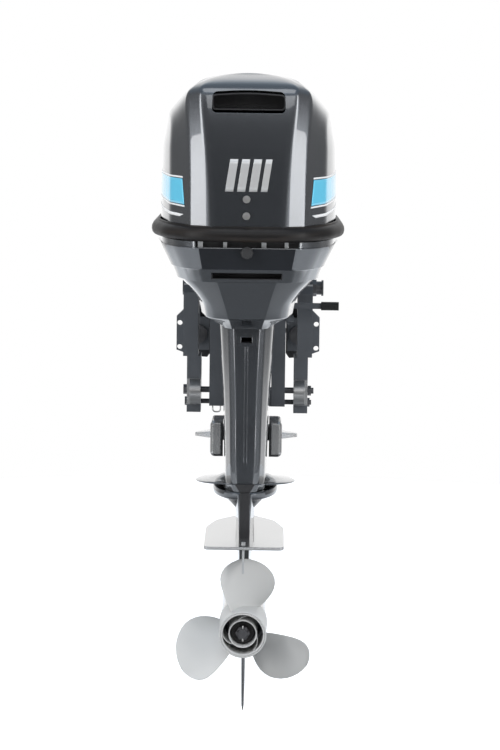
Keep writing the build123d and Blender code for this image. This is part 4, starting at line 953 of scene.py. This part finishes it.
def leg_corners(half, aft, front, strip):
    """The leg's corners in plan."""
    return [
        (0, aft), (strip, aft + 1.0), (strip + 11, aft + 8), (half - 3.5, aft + 38), (half, aft + 84),
        (half, front - 48), (0.8 * half, front), (0, front),
    ]


IDLE_PORT = (10, 31, 41)       # half width, bottom and top of the idle port


def leg():
    """The apron, and the leg below it with the hole of the idle port."""
    rings = stack(finer(APRON_LEVELS, 3), apron_corners, (3, 46, 60, 8))
    place(walled("apron_shell", rings, 3.0, "gloss_paint"), "motor", "gloss_paint", "apron")
    rings = stack(finer(LEG_LEVELS, 3), leg_corners, (8, 10, 60, 90, 40, 20))
    housing = walled("leg_shell", rings, 3.5, "gloss_paint")
    carve(housing, prism("port_cut", rect(*IDLE_PORT), (-360.0, -325.0)))
    housing.data.set_sharp_from_angle(angle=math.radians(CASING_ANGLE))
    place(housing, "motor", "casting_paint", "driveshaft_housing")


def idle_port():
    """The raised frame round the idle port, and its dark liner."""
    rings = slices(rect(21, 25, 45), ((1.0, -337.0), (1.0, -340.0), (0.93, -341.2)), (0, 35))
    rings += slices(rect(10.6, 30.4, 41.6), ((1.12, -341.2), (1.0, -340.4), (1.0, -337.0)), (0, 35))
    solid("port_pad", hoop(rings), "gloss_paint", "motor", "casting_paint")
    cuts = ((1.08, -338.0), (1.0, -338.0), (0.9, -318.0), (1.0, -316.0), (1.08, -316.0))
    rings = slices(rect(*IDLE_PORT), cuts, (0, 36))
    solid("port_liner", hoop(rings), "black_plastic", "motor", "plastic")


RIDGE_X = 2.6                  # each ridge's distance from the centre plane
# Height and how far the ridge stands out there
RIDGE_LEVELS = ((24, 0.0), (20, 1.5), (-40, 1.5), (-110, 1.5), (-180, 1.4), (-204, 0.0))


def leg_ridges():
    """Two fine ridges down the leg's aft strip."""
    aft_edge = [(level[0], level[2]) for level in LEG_LEVELS]
    ridges = []
    for side in (-1, 1):
        rings = []
        for z, height in RIDGE_LEVELS:
            surface = smooth_between(aft_edge, z) + 0.3
            half = [(1.3, surface + 1.5), (1.3, surface), (0.6, surface - height)]
            section = [(-x, y) for x, y in half] + half[::-1]
            rings.append([(side * RIDGE_X + x, y, z) for x, y in section])
        ridges.append(skin(rings, True))
    solid("leg_ridges", gathered(ridges), "gloss_paint", "motor", "casting_paint", smooth=50.0)


def leg_foot():
    """A black cap at the foot of the leg and a black strip down the strut's aft edge, as painted shade on
    the painted casing there.
    """
    # Painted shade: the step under the leg is painted casing, dark only because it faces down and aft
    outline = ((-19, -243), (19, -243), (9.6, -259), (-9.6, -259))
    rings = slices(outline, ((1.0, -336.0), (1.0, -342.0), (0.9, -343.6)), keep_height=True)
    solid("leg_step_shade", skin(rings, True), "black_plastic", "motor", "plastic")
    # Painted shade: the strut's aft edge is painted casing, dark only because it faces aft
    outline = rect(9.6, -259, -349)
    rings = slices(outline, ((1.0, -342.4), (1.0, -346.0), (0.86, -347.0)), keep_height=True)
    solid("strut_edge_shade", skin(rings, True), "black_plastic", "motor", "plastic")


SPLASH_HALF, SPLASH_LONG = 97, 98      # half width and half length of the splash plate
SPLASH_Y, SPLASH_Z = -240, -249.5      # its middle
SPLASH_FALL = 0.061            # how much it falls per length forward
SPLASH_DROOP = 3.0             # how far its sides hang
# Share of the size and height of each ring, from the underside's middle to the topside's
SPLASH_RINGS = (
    (0.3, -6.5), (0.55, -5.5), (0.8, -3.4), (0.95, -1.9), (0.995, -0.9), (1.0, 0.0), (0.995, 0.9),
    (0.95, 1.9), (0.8, 3.4), (0.55, 7.0), (0.45, 11.0), (0.3, 11.0),
)


def splash_plate():
    """The dished oval plate at the foot of the leg."""
    rings = []
    for share, lift in SPLASH_RINGS:
        ring = []
        for n in range(96):
            turn = 2 * math.pi * n / 96
            x, y = SPLASH_HALF * share * math.sin(turn), SPLASH_LONG * share * math.cos(turn)
            droop = SPLASH_DROOP * (abs(x) / SPLASH_HALF) ** 2
            ring.append((x, SPLASH_Y + y, SPLASH_Z + lift - SPLASH_FALL * y - droop))
        rings.append(ring)
    solid("splash_plate", skin(rings, True), "gloss_paint", "motor", "casting_paint", smooth=50.0)


# ---------------------------------------------------------------- foils on the hood
FOIL_PROUD = 0.0004            # how far a foil stands off the hood, in metres
SIDES = ((-1, "port"), (1, "starboard"))


def on_hood(tree, start, along):
    """The point where a ray meets the hood, in mm, just proud of the surface, or None."""
    hit, normal, _, _ = tree.ray_cast(Vector(start) * MM, Vector(along))
    if hit is None:
        return None
    return (hit + normal * FOIL_PROUD) / MM


def foil(name, tree, corners, finish, side=0, steps=(18, 6)):
    """A thin foil on the hood inside four corners: (x, z) seen from aft, or (y, z) from side -1 or 1."""
    a, b, c, d = (Vector(p) for p in corners)
    verts, faces = [], []
    for j in range(steps[1] + 1):
        for i in range(steps[0] + 1):
            u, v = i / steps[0], j / steps[1]
            p = (a * (1 - u) + b * u) * (1 - v) + (d * (1 - u) + c * u) * v
            start, along = (p.x, -600, p.y), (0, 1, 0)
            if side:
                start, along = (side * 400, p.x, p.y), (-side, 0, 0)
            verts.append(on_hood(tree, start, along))
    wide = steps[0] + 1
    for j in range(steps[1]):
        for i in range(steps[0]):
            n = j * wide + i
            if all(verts[k] is not None for k in (n, n + 1, n + wide + 1, n + wide)):
                faces.append((n, n + 1, n + wide + 1, n + wide))
    if any(v is None for v in verts):
        verts = [v if v is not None else Vector((0, 0, 300)) for v in verts]
    made = piece(name, verts, faces, finish, 60.0)
    mesh = bmesh.new()
    mesh.from_mesh(made.data)
    bmesh.ops.delete(mesh, geom=[v for v in mesh.verts if not v.link_faces], context="VERTS")
    mesh.normal_update()
    outward = Vector((side, 0, 0)) if side else Vector((0, -1, 0))
    if mesh.faces and sum(f.normal.dot(outward) for f in mesh.faces) < 0:
        bmesh.ops.reverse_faces(mesh, faces=mesh.faces)
    mesh.to_mesh(made.data)
    mesh.free()
    wall = made.modifiers.new("wall", "SOLIDIFY")
    wall.thickness = 0.35 * MM
    wall.offset = -1.0
    bpy.context.view_layer.update()
    settle(made)
    return place(made, "hood", "plastic")


BARS = ((-42, 15), (-20, 15), (2, 15), (24, 12))       # left foot and width of each bar aft
BAR_LOW, BAR_HIGH, BAR_LEAN = 329, 389, 9
# Name, (y, z) corners, finish and steps of each foil on the hood's sides
SIDE_FOILS = (
    ("stripe_", ((-430, 301), (-60, 322), (-40, 352), (-425, 349)), "stripe_foil", (110, 8)),
    (
        "stripe_low_edge_", ((-431, 296.5), (-56, 317.5), (-57, 320.5), (-430.5, 299.5)),
        "white_foil", (110, 2),
    ),
    (
        "stripe_high_edge_", ((-426, 350.5), (-38, 353.5), (-37, 356.5), (-425.5, 353.5)),
        "white_foil", (110, 2),
    ),
    ("stripe_dart_", ((-418, 278), (-200, 292), (-196, 297), (-428, 283)), "white_foil", (70, 2)),
)


def graphics(tree):
    """Slanted bars aft, and a swept blue stripe with white edges on each side."""
    for n, (left, wide) in enumerate(BARS):
        foot = [(left, BAR_LOW), (left + wide, BAR_LOW)]
        head = [(left + wide + BAR_LEAN, BAR_HIGH), (left + BAR_LEAN, BAR_HIGH)]
        foil("aft_bar_%d" % (n + 1), tree, foot + head, "silver_foil")
    for side, word in SIDES:
        for name, corners, finish, steps in SIDE_FOILS:
            foil(name + word, tree, corners, finish, side, steps)


# ---------------------------------------------------------------- propeller
PROP_Z = 0.5 * (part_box("propeller_shaft")[0].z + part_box("propeller_shaft")[1].z) / MM
HUB_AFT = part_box("propeller")[0].y / MM
HUB_FRONT = HUB_AFT + 109.0
PITCH = 330.0
BLADE_MIDDLE = -371.0
# radius, then the leading and trailing edges in degrees clockwise of the blade's axis, seen from aft
BLADE_EDGES = (
    (42, 41, -30), (60, 43, -29), (80, 41.5, -27), (100, 37, -25), (115, 30.5, -22.5), (124, 24.0, -19.5),
    (131, 17.5, -15.5), (136, 10.5, -10.5), (139, 4.0, -5.5), (139.9, 0.0, -2.0),
)
BLADE_THICK = ((42, 13.0), (50, 8.6), (80, 6.4), (110, 4.6), (130, 3.2), (140, 2.0))
RAKE = 0.16


def blade_point(radius, share, side):
    """A point on a blade: share 0 to 1 from leading to trailing edge, side -1 on its aft face and 1 fore."""
    lead = smooth_between([(r, a) for r, a, b in BLADE_EDGES], radius)
    trail = smooth_between([(r, b) for r, a, b in BLADE_EDGES], radius)
    angle = lead + (trail - lead) * share
    belly = max(0.0, 4.0 * share * (1.0 - share)) ** 0.6
    thick = straight_between(BLADE_THICK, radius) * belly * 0.5
    cup = 3.0 * max(0.0, (share - 0.8) / 0.2) ** 2
    y = BLADE_MIDDLE + PITCH * angle / 360.0 - RAKE * (radius - 42.0) - cup
    slope = PITCH / (2.0 * math.pi * radius)
    lean = 1.0 / math.sqrt(1.0 + slope * slope)
    turn = math.radians(angle - side * thick * slope * lean / radius * 57.3)
    y += side * thick * lean
    return radius * math.sin(turn), y, radius * math.cos(turn)


def blade_rings():
    """A blade's sections from root to tip, each round its aft and fore faces."""
    radii = [42, 44, 47, 51, 57, 65, 74, 84, 94, 104, 112, 119, 125, 130, 134, 137, 139, 139.9]
    shares = [0.5 - 0.5 * math.cos(math.pi * n / 18) for n in range(19)]
    rings = []
    for radius in radii:
        aft = [blade_point(radius, s, -1) for s in shares]
        fore = [blade_point(radius, s, 1) for s in reversed(shares[1:-1])]
        rings.append(aft + fore)
    return rings


def lathe(profile, steps=72):
    """A closed turned solid about the propeller's axis, from (radius, y) points."""
    rings = []
    for n in range(steps):
        turn = 2.0 * math.pi * n / steps
        rings.append([(r * math.sin(turn), y, PROP_Z + r * math.cos(turn)) for r, y in profile])
    return skin(rings + rings[:1])


def turned_ring(ring, degrees):
    """A ring of points about the origin, turned clockwise seen from aft and set on the propeller's axis."""
    cosine, sine = math.cos(math.radians(degrees)), math.sin(math.radians(degrees))
    return [(x * cosine + z * sine, y, PROP_Z - x * sine + z * cosine) for x, y, z in ring]


def propeller_blades():
    """Three cambered blades."""
    rings = blade_rings()
    blades = [skin([turned_ring(ring, 120.0 * number) for ring in rings], True) for number in range(3)]
    solid("propeller_blades", gathered(blades), "wheel_paint", "prop", "alloy", "propeller", smooth=60.0)


def propeller_hub():
    """The hub's barrel, whose aft rim has a groove, and the ring inside it."""
    barrel = [
        (38.6, HUB_AFT + 1.2), (39.4, HUB_AFT), (40.8, HUB_AFT), (41.6, HUB_AFT + 1.6),
        (42.4, HUB_AFT + 1.6), (43.0, HUB_AFT), (44.4, HUB_AFT),
        (45.2, HUB_AFT + 1.4), (44.6, HUB_AFT + 12), (45.2, HUB_AFT + 45),
        (46.0, HUB_FRONT - 12), (46.4, HUB_FRONT - 1.5), (45.4, HUB_FRONT), (42.0, HUB_FRONT),
        (41.0, HUB_FRONT - 4), (40.0, HUB_AFT + 20), (38.6, HUB_AFT + 6),
    ]
    solid("propeller_hub", lathe(barrel), "wheel_paint", "prop", "alloy", smooth=40.0)
    core = [
        (24.8, HUB_AFT + 8.6), (25.4, HUB_AFT + 7.4), (26.6, HUB_AFT + 7.4), (27.2, HUB_AFT + 8.6),
        (27.8, HUB_AFT + 60), (27.4, HUB_FRONT - 4), (24.8, HUB_FRONT - 4),
    ]
    solid("propeller_core", lathe(core), "wheel_paint", "prop", "alloy", smooth=40.0)


WEB_IN, WEB_LONG = 26.8, 12.6  # the radius where a web starts, and how far out it runs
WEB_HALF = 2.0                 # half its thickness
WEB_START, WEB_SWEEP = -16.0, 44.0     # where it starts and how far it turns, in degrees
# A web's section: distance forward of the hub's aft edge, and share of the half thickness
WEB_SECTION = ((9, 0.7), (8, 0.0), (9, -0.7), (70, -1.0), (70, 1.0))


def propeller_webs():
    """Three swept webs between the hub's barrel and the ring inside it."""
    webs = []
    for number in range(3):
        start = math.radians(120.0 * number + WEB_START)
        rings = []
        for n in range(9):
            share = n / 8
            radius = WEB_IN + WEB_LONG * share
            turn = start + math.radians(WEB_SWEEP) * share**1.3
            edges = [(turn + WEB_HALF / radius * spread, HUB_AFT + y) for y, spread in WEB_SECTION]
            rings.append([(radius * math.sin(t), y, PROP_Z + radius * math.cos(t)) for t, y in edges])
        webs.append(skin(rings, True))
    solid("propeller_webs", gathered(webs), "wheel_paint", "prop", "alloy", smooth=40.0)


# ---------------------------------------------------------------- gearcase
PLATE_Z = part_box("trim_tab")[1].z / MM - 6.0
# Height, half width, aft and front edge of the strut, bottom up
STRUT_LEVELS = (
    (PROP_Z + 20, 12, -286, -96), (PROP_Z + 44, 12.5, -300, -91), (-430, 13.5, -318, -86),
    (-382, 15, -331, -80), (-351, 16, -345, -76), (-306, 18, -345, -72), (-262, 23, -344, -70),
)


def strut_corners(half, aft, front):
    """The strut's corners in plan: a blunt aft edge and a rounded leading edge."""
    return [
        (0, aft), (0.62 * half, aft), (half, aft + 60), (half, front - 70), (0.45 * half, front - 12),
        (0, front),
    ]


def oval_rings(levels, middle, steps=96):
    """Rings of an oval, from (height, half width, half length) levels."""
    turns = [2.0 * math.pi * n / steps for n in range(steps)]
    return [[(a * math.sin(t), middle + b * math.cos(t), z) for t in turns] for z, a, b in levels]


def skeg_ring(z, front, aft, half):
    """One section of the skeg, sharp at both ends."""
    length = front - aft
    side = [
        (0, aft), (0.55 * half, aft + 4), (half, aft + 0.45 * length), (0.7 * half, aft + 0.8 * length),
        (0, front),
    ]
    return [(x, y, z) for x, y in side] + [(-x, y, z) for x, y in reversed(side[1:-1])]


# Height, half width and half length of the flare at the strut's top
FLARE_LEVELS = (
    (-259.4, 58.0, 96.0), (-259.4, 61.5, 100.0), (-262.0, 63.0, 102.0), (-270.0, 63.2, 102.0),
    (-273.5, 61.5, 100.4), (-275.5, 55.0, 96.0), (-283.0, 41.0, 88.0), (-296.0, 25.0, 78.0),
    (-312.0, 16.0, 68.0),
)
FLARE_Y = -240.0


def strut():
    """The strut and the flare at its top."""
    rings = stack(finer(STRUT_LEVELS, 3), strut_corners, (5, 60, 60, 12))
    solid("strut", skin(rings, True), "gloss_paint", "motor", "casting_paint", "gearcase", smooth=40.0)
    flare = skin(oval_rings(FLARE_LEVELS, FLARE_Y), True)
    solid("strut_flare", flare, "gloss_paint", "motor", "casting_paint", smooth=32.0)


def anti_ventilation_plate():
    """The flat plate above the propeller, its edge rounded."""
    corners = [(0, -424.6), (77.0, -424.6), (76.5, -228), (58, -158), (14, -106), (0, -105)]
    outline = evened(both_sides(round_half(corners, (8, 70, 40, 30))), 160, 2)
    section = ((-2.9, -6), (-2.9, -1.6), (-1.8, -0.3), (1.8, -0.3), (2.9, -1.6), (2.9, -6))
    rings = [ring_at(outline, PLATE_Z + z, distance) for z, distance in section]
    plate = skin(rings, True)
    solid("anti_ventilation_plate", plate, "plate_paint", "motor", "casting_paint", smooth=40.0)


def torpedo():
    """The gears' housing, turned about the propeller's axis from nose to tail."""
    profile = [
        (0.01, -28.0), (6, -28.7), (12.5, -31.0), (20, -36.5), (28, -46.0), (34.5, -59.0), (39.5, -76.0),
        (43.2, -98.0), (44.8, -125.0), (45.0, -160.0), (45.0, -270.0), (44.9, -300.0), (44.2, -311.0),
        (43.0, -312.0), (30.0, -312.0), (0.01, -312.0),
    ]
    solid("torpedo", lathe(profile), "gloss_paint", "motor", "casting_paint", smooth=40.0)


def skeg():
    """The fin below the torpedo."""
    top, foot = PROP_Z - 36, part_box("gearcase")[0].z / MM
    levels = (
        (top, -118, -296, 5.0), (foot + 40, -196, -292, 3.2), (foot + 6, -226, -287, 2.5),
        (foot, -236, -282, 1.6),
    )
    rings = [skeg_ring(*level) for level in levels]
    solid("skeg", skin(rings, True), "gloss_paint", "motor", "casting_paint", smooth=50.0)


BAR_TOP, BAR_PITCH = -318, 9   # height of the top inlet bar, and the distance down to the next
# An inlet bar's root and lip: distance out from the strut, front and aft ends, half height
BAR_SECTIONS = ((-1.5, -190, -225, 1.6), (0.7, -192, -223, 1.3))


def water_inlet_bars():
    """Four short bars of the water inlet on each side of the strut."""
    half_widths = [(level[0], level[1]) for level in STRUT_LEVELS]
    bars = []
    for side in (-1, 1):
        for row in range(4):
            z = BAR_TOP - BAR_PITCH * row
            x = side * smooth_between(half_widths, z)
            rings = []
            for out, front, aft, half in BAR_SECTIONS:
                corners = ((front, -half), (aft, -half), (aft, half), (front, half))
                rings.append([(x + side * out, y, z + h) for y, h in corners])
            bars.append(skin(rings, True))
    solid("water_inlet_bars", gathered(bars), "black_plastic", "motor", "plastic")


# ---------------------------------------------------------------- small fittings
def hood_screws():
    """The two screws on the hood's aft face."""
    places = [(-2, -464.2, 315), (-2, -464.2, 284)]
    screws = bolts("hood_screws", places, (0, -1, 0), "bare_steel", 4.0, 3.0, 7.0, 24)
    place(screws, "hood", "brass", "cowl_screws")


def latch_knob():
    """The latch's round knob, with a fluted rim."""
    low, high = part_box("cowl_latch")
    middle_z = 0.5 * (low.z + high.z) / MM
    middle_x = 0.5 * (low.x + high.x) / MM
    face = low.y / MM
    rings = []
    for n in range(48):
        turn = 2.0 * math.pi * n / 48
        flute = 1.0 + 0.035 * math.cos(8 * turn)
        profile = [
            (0.01, face + 1.2), (8.0, face + 1.0), (9.0, face + 0.2), (10.6 * flute, face + 0.2),
            (11.5 * flute, face + 1.6), (11.3 * flute, face + 6), (10.2, face + 8), (0.01, face + 8),
        ]
        rings.append([(middle_x + r * math.sin(turn), y, middle_z + r * math.cos(turn)) for r, y in profile])
    solid("latch_knob", hoop(rings), "black_plastic", "latch", "plastic", "cowl_latch", smooth=30.0)


JAW_X, JAW_Z = 98.5, -4        # middle of a jaw's black plate of painted shade
JAW_OUTLINE = ((77, 44), (84, 50), (121, 50), (121, -40), (112, -56), (84, -58), (77, -48))


def jaw_shade_plates():
    """A black plate in the jaw of each clamp bracket, as painted shade on the bracket's forward jaw."""
    for side, word in SIDES:
        # Painted shade: black plastic where the bracket's jaw lies in shade
        outline = [(side * x, z) for x, z in JAW_OUTLINE]
        cuts = ((0.94, 84.0), (1.0, 85.5), (1.0, 91.0), (0.94, 92.4))
        rings = slices(outline, cuts, (JAW_X * side, JAW_Z))
        solid("jaw_cover_" + word, skin(rings, True), "black_plastic", "clamp", "plastic")


# ---------------------------------------------------------------- CAD nodes that stay
NODE_FINISHES = {
    "gloss_paint": "bottom_cowl apron driveshaft_housing gearcase top_cowl",
    "plate_paint": "lower_mount_cover_port lower_mount_cover_starboard",
    "bracket_paint": "clamp_bracket_port clamp_bracket_starboard",
    "satin_paint": "swivel_bracket steering_bracket lower_mount_bracket"
    " tilt_lever engine_block crankcase cylinder_head exhaust_guide",
    "dark_moulding": "rear_panel cowl_latch",
    "wheel_paint": "propeller",
    "band_rubber": "cowl_band",
    "black_plastic": "grab_handle intake_silencer starter_motor steering_bushes",
    "bare_steel": "cotter_pin spark_plugs clamp_screw_port clamp_screw_starboard crankshaft"
    " bonding_lead",
    "dark_steel": "tilt_tube tilt_tube_nut steering_cable_cap tilt_pin tie_bolt clamp_handle_port"
    " clamp_handle_starboard driveshaft shift_rod flywheel clamp_pad_port clamp_pad_starboard prop_nut"
    " propeller_shaft",
    "raw_alloy": "carburettors water_pump bearing_carrier trim_tab pinion_gear forward_gear reverse_gear"
    " clutch_dog",
    "soft_rubber": "upper_mounts lower_mounts prop_bush pump_impeller",
    "knurled_rubber": "tilt_lever_grip",
    "gold_steel": "cowl_screws",
}


def finish_nodes():
    """Every CAD node that stays gets its finish."""
    for finish, names in NODE_FINISHES.items():
        for name in names.split():
            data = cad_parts[name].data
            data.materials.clear()
            data.materials.append(FINISHES[finish])


# ---------------------------------------------------------------- stage
def tilted_axes(azimuth, elevation, roll):
    """The camera's right, up and back directions, from angles in degrees."""
    a, e, r = (math.radians(v) for v in (azimuth, elevation, roll))
    back = Vector((math.sin(a) * math.cos(e), -math.cos(a) * math.cos(e), math.sin(e)))
    right = Vector((0, 0, 1)).cross(back).normalized()
    up = back.cross(right)
    return right * math.cos(r) + up * math.sin(r), up * math.cos(r) - right * math.sin(r), back


CAMERA_LENS = 138.9
CAMERA_PLACE = (0.0454, -5.7907, 0.7838)


def camera():
    """The camera, aft of the motor and slightly above it."""
    lens = bpy.data.cameras.new("camera")
    lens.lens = CAMERA_LENS
    made = bpy.data.objects.new("camera", lens)
    right, up, back = tilted_axes(0.4, 8.5, 0.7)
    turn = Matrix((right, up, back)).transposed().to_4x4()
    made.matrix_world = Matrix.Translation(CAMERA_PLACE) @ turn
    bpy.context.scene.collection.objects.link(made)
    bpy.context.scene.camera = made


def softbox(name, where, target, size, power):
    """A soft area light facing a target."""
    light = bpy.data.lights.new(name, "AREA")
    light.shape = "RECTANGLE"
    light.size, light.size_y = size
    light.energy = power
    made = bpy.data.objects.new(name, light)
    aim = (Vector(target) - Vector(where)).to_track_quat("-Z", "Y")
    made.matrix_world = Matrix.Translation(where) @ aim.to_matrix().to_4x4()
    bpy.context.scene.collection.objects.link(made)


FLOOR_R, FLOOR_Y, FLOOR_Z = 2600, -200, -735


def floor():
    """A pale round floor just below the skeg."""
    turns = [2 * math.pi * n / 96 for n in range(96)]
    verts = [(FLOOR_R * math.cos(t), FLOOR_R * math.sin(t) + FLOOR_Y, FLOOR_Z) for t in turns]
    piece("floor", verts, [tuple(range(96))], "floor_paint")


def studio():
    """A room, white for the camera; in reflections dim aft except for a strip, and bright ahead."""
    world = bpy.data.worlds.new("studio")
    bpy.context.scene.world = world
    world.use_nodes = True
    world.node_tree.nodes.clear()
    Wire.tree = world.node_tree
    seen = Wire(Wire.node("LightPath").outputs["Is Camera Ray"])
    x, y, z = split(Wire(Wire.node("TexCoord").outputs["Generated"]))
    strip = y.above(-0.90, 0.12) * (1.0 - y.above(-0.52, 0.14))
    ahead = y.above(0.50, 0.42)
    overhead = z.above(0.45, 0.45)
    slope = z.above(-0.12, 0.50) + x.maths("ABSOLUTE").above(0.05, 0.25) * 0.6
    strength = 0.08 + slope * 0.13 + y.above(-0.9, 0.2) * 0.24 + strip * 0.36
    strength = strength + ahead * 0.80 + overhead * 0.18
    sky = mixed(z.above(0.40, 0.5), (1.0, 1.0, 1.0, 1.0), (0.66, 0.82, 1.0, 1.0))
    light = Wire.node("Background", Color=sky, Strength=strength)
    plain = Wire.node("Background", Color=(1.0, 1.0, 1.0, 1.0), Strength=1.0)
    both = Wire.node("MixShader", _0=seen, _1=Wire(light.outputs[0]), _2=Wire(plain.outputs[0]))
    output = Wire.node("OutputWorld")
    world.node_tree.links.new(both.outputs[0], output.inputs[0])


def lights():
    """Two narrow lights beside the camera, one overhead and one high behind it."""
    softbox("left_box", (-2.2, -2.0, 0.7), (0, -0.25, 0.1), (0.5, 2.8), 34)
    softbox("right_box", (2.2, -2.0, 0.7), (0, -0.25, 0.1), (0.5, 2.8), 34)
    softbox("top_box", (0, -0.9, 2.6), (0, -0.25, 0.2), (1.4, 1.4), 15)
    softbox("front_box", (0.5, -4.2, 2.6), (0, -0.3, -0.1), (2.6, 1.5), 30)


graphics(hood())
rubber_band()
lower_casing()
leg()
idle_port()
leg_ridges()
leg_foot()
splash_plate()
propeller_blades()
propeller_hub()
propeller_webs()
strut()
anti_ventilation_plate()
torpedo()
skeg()
water_inlet_bars()
hood_screws()
latch_knob()
jaw_shade_plates()
finish_nodes()
camera()
floor()
studio()
lights()
bpy.context.scene.view_settings.view_transform = "Standard"
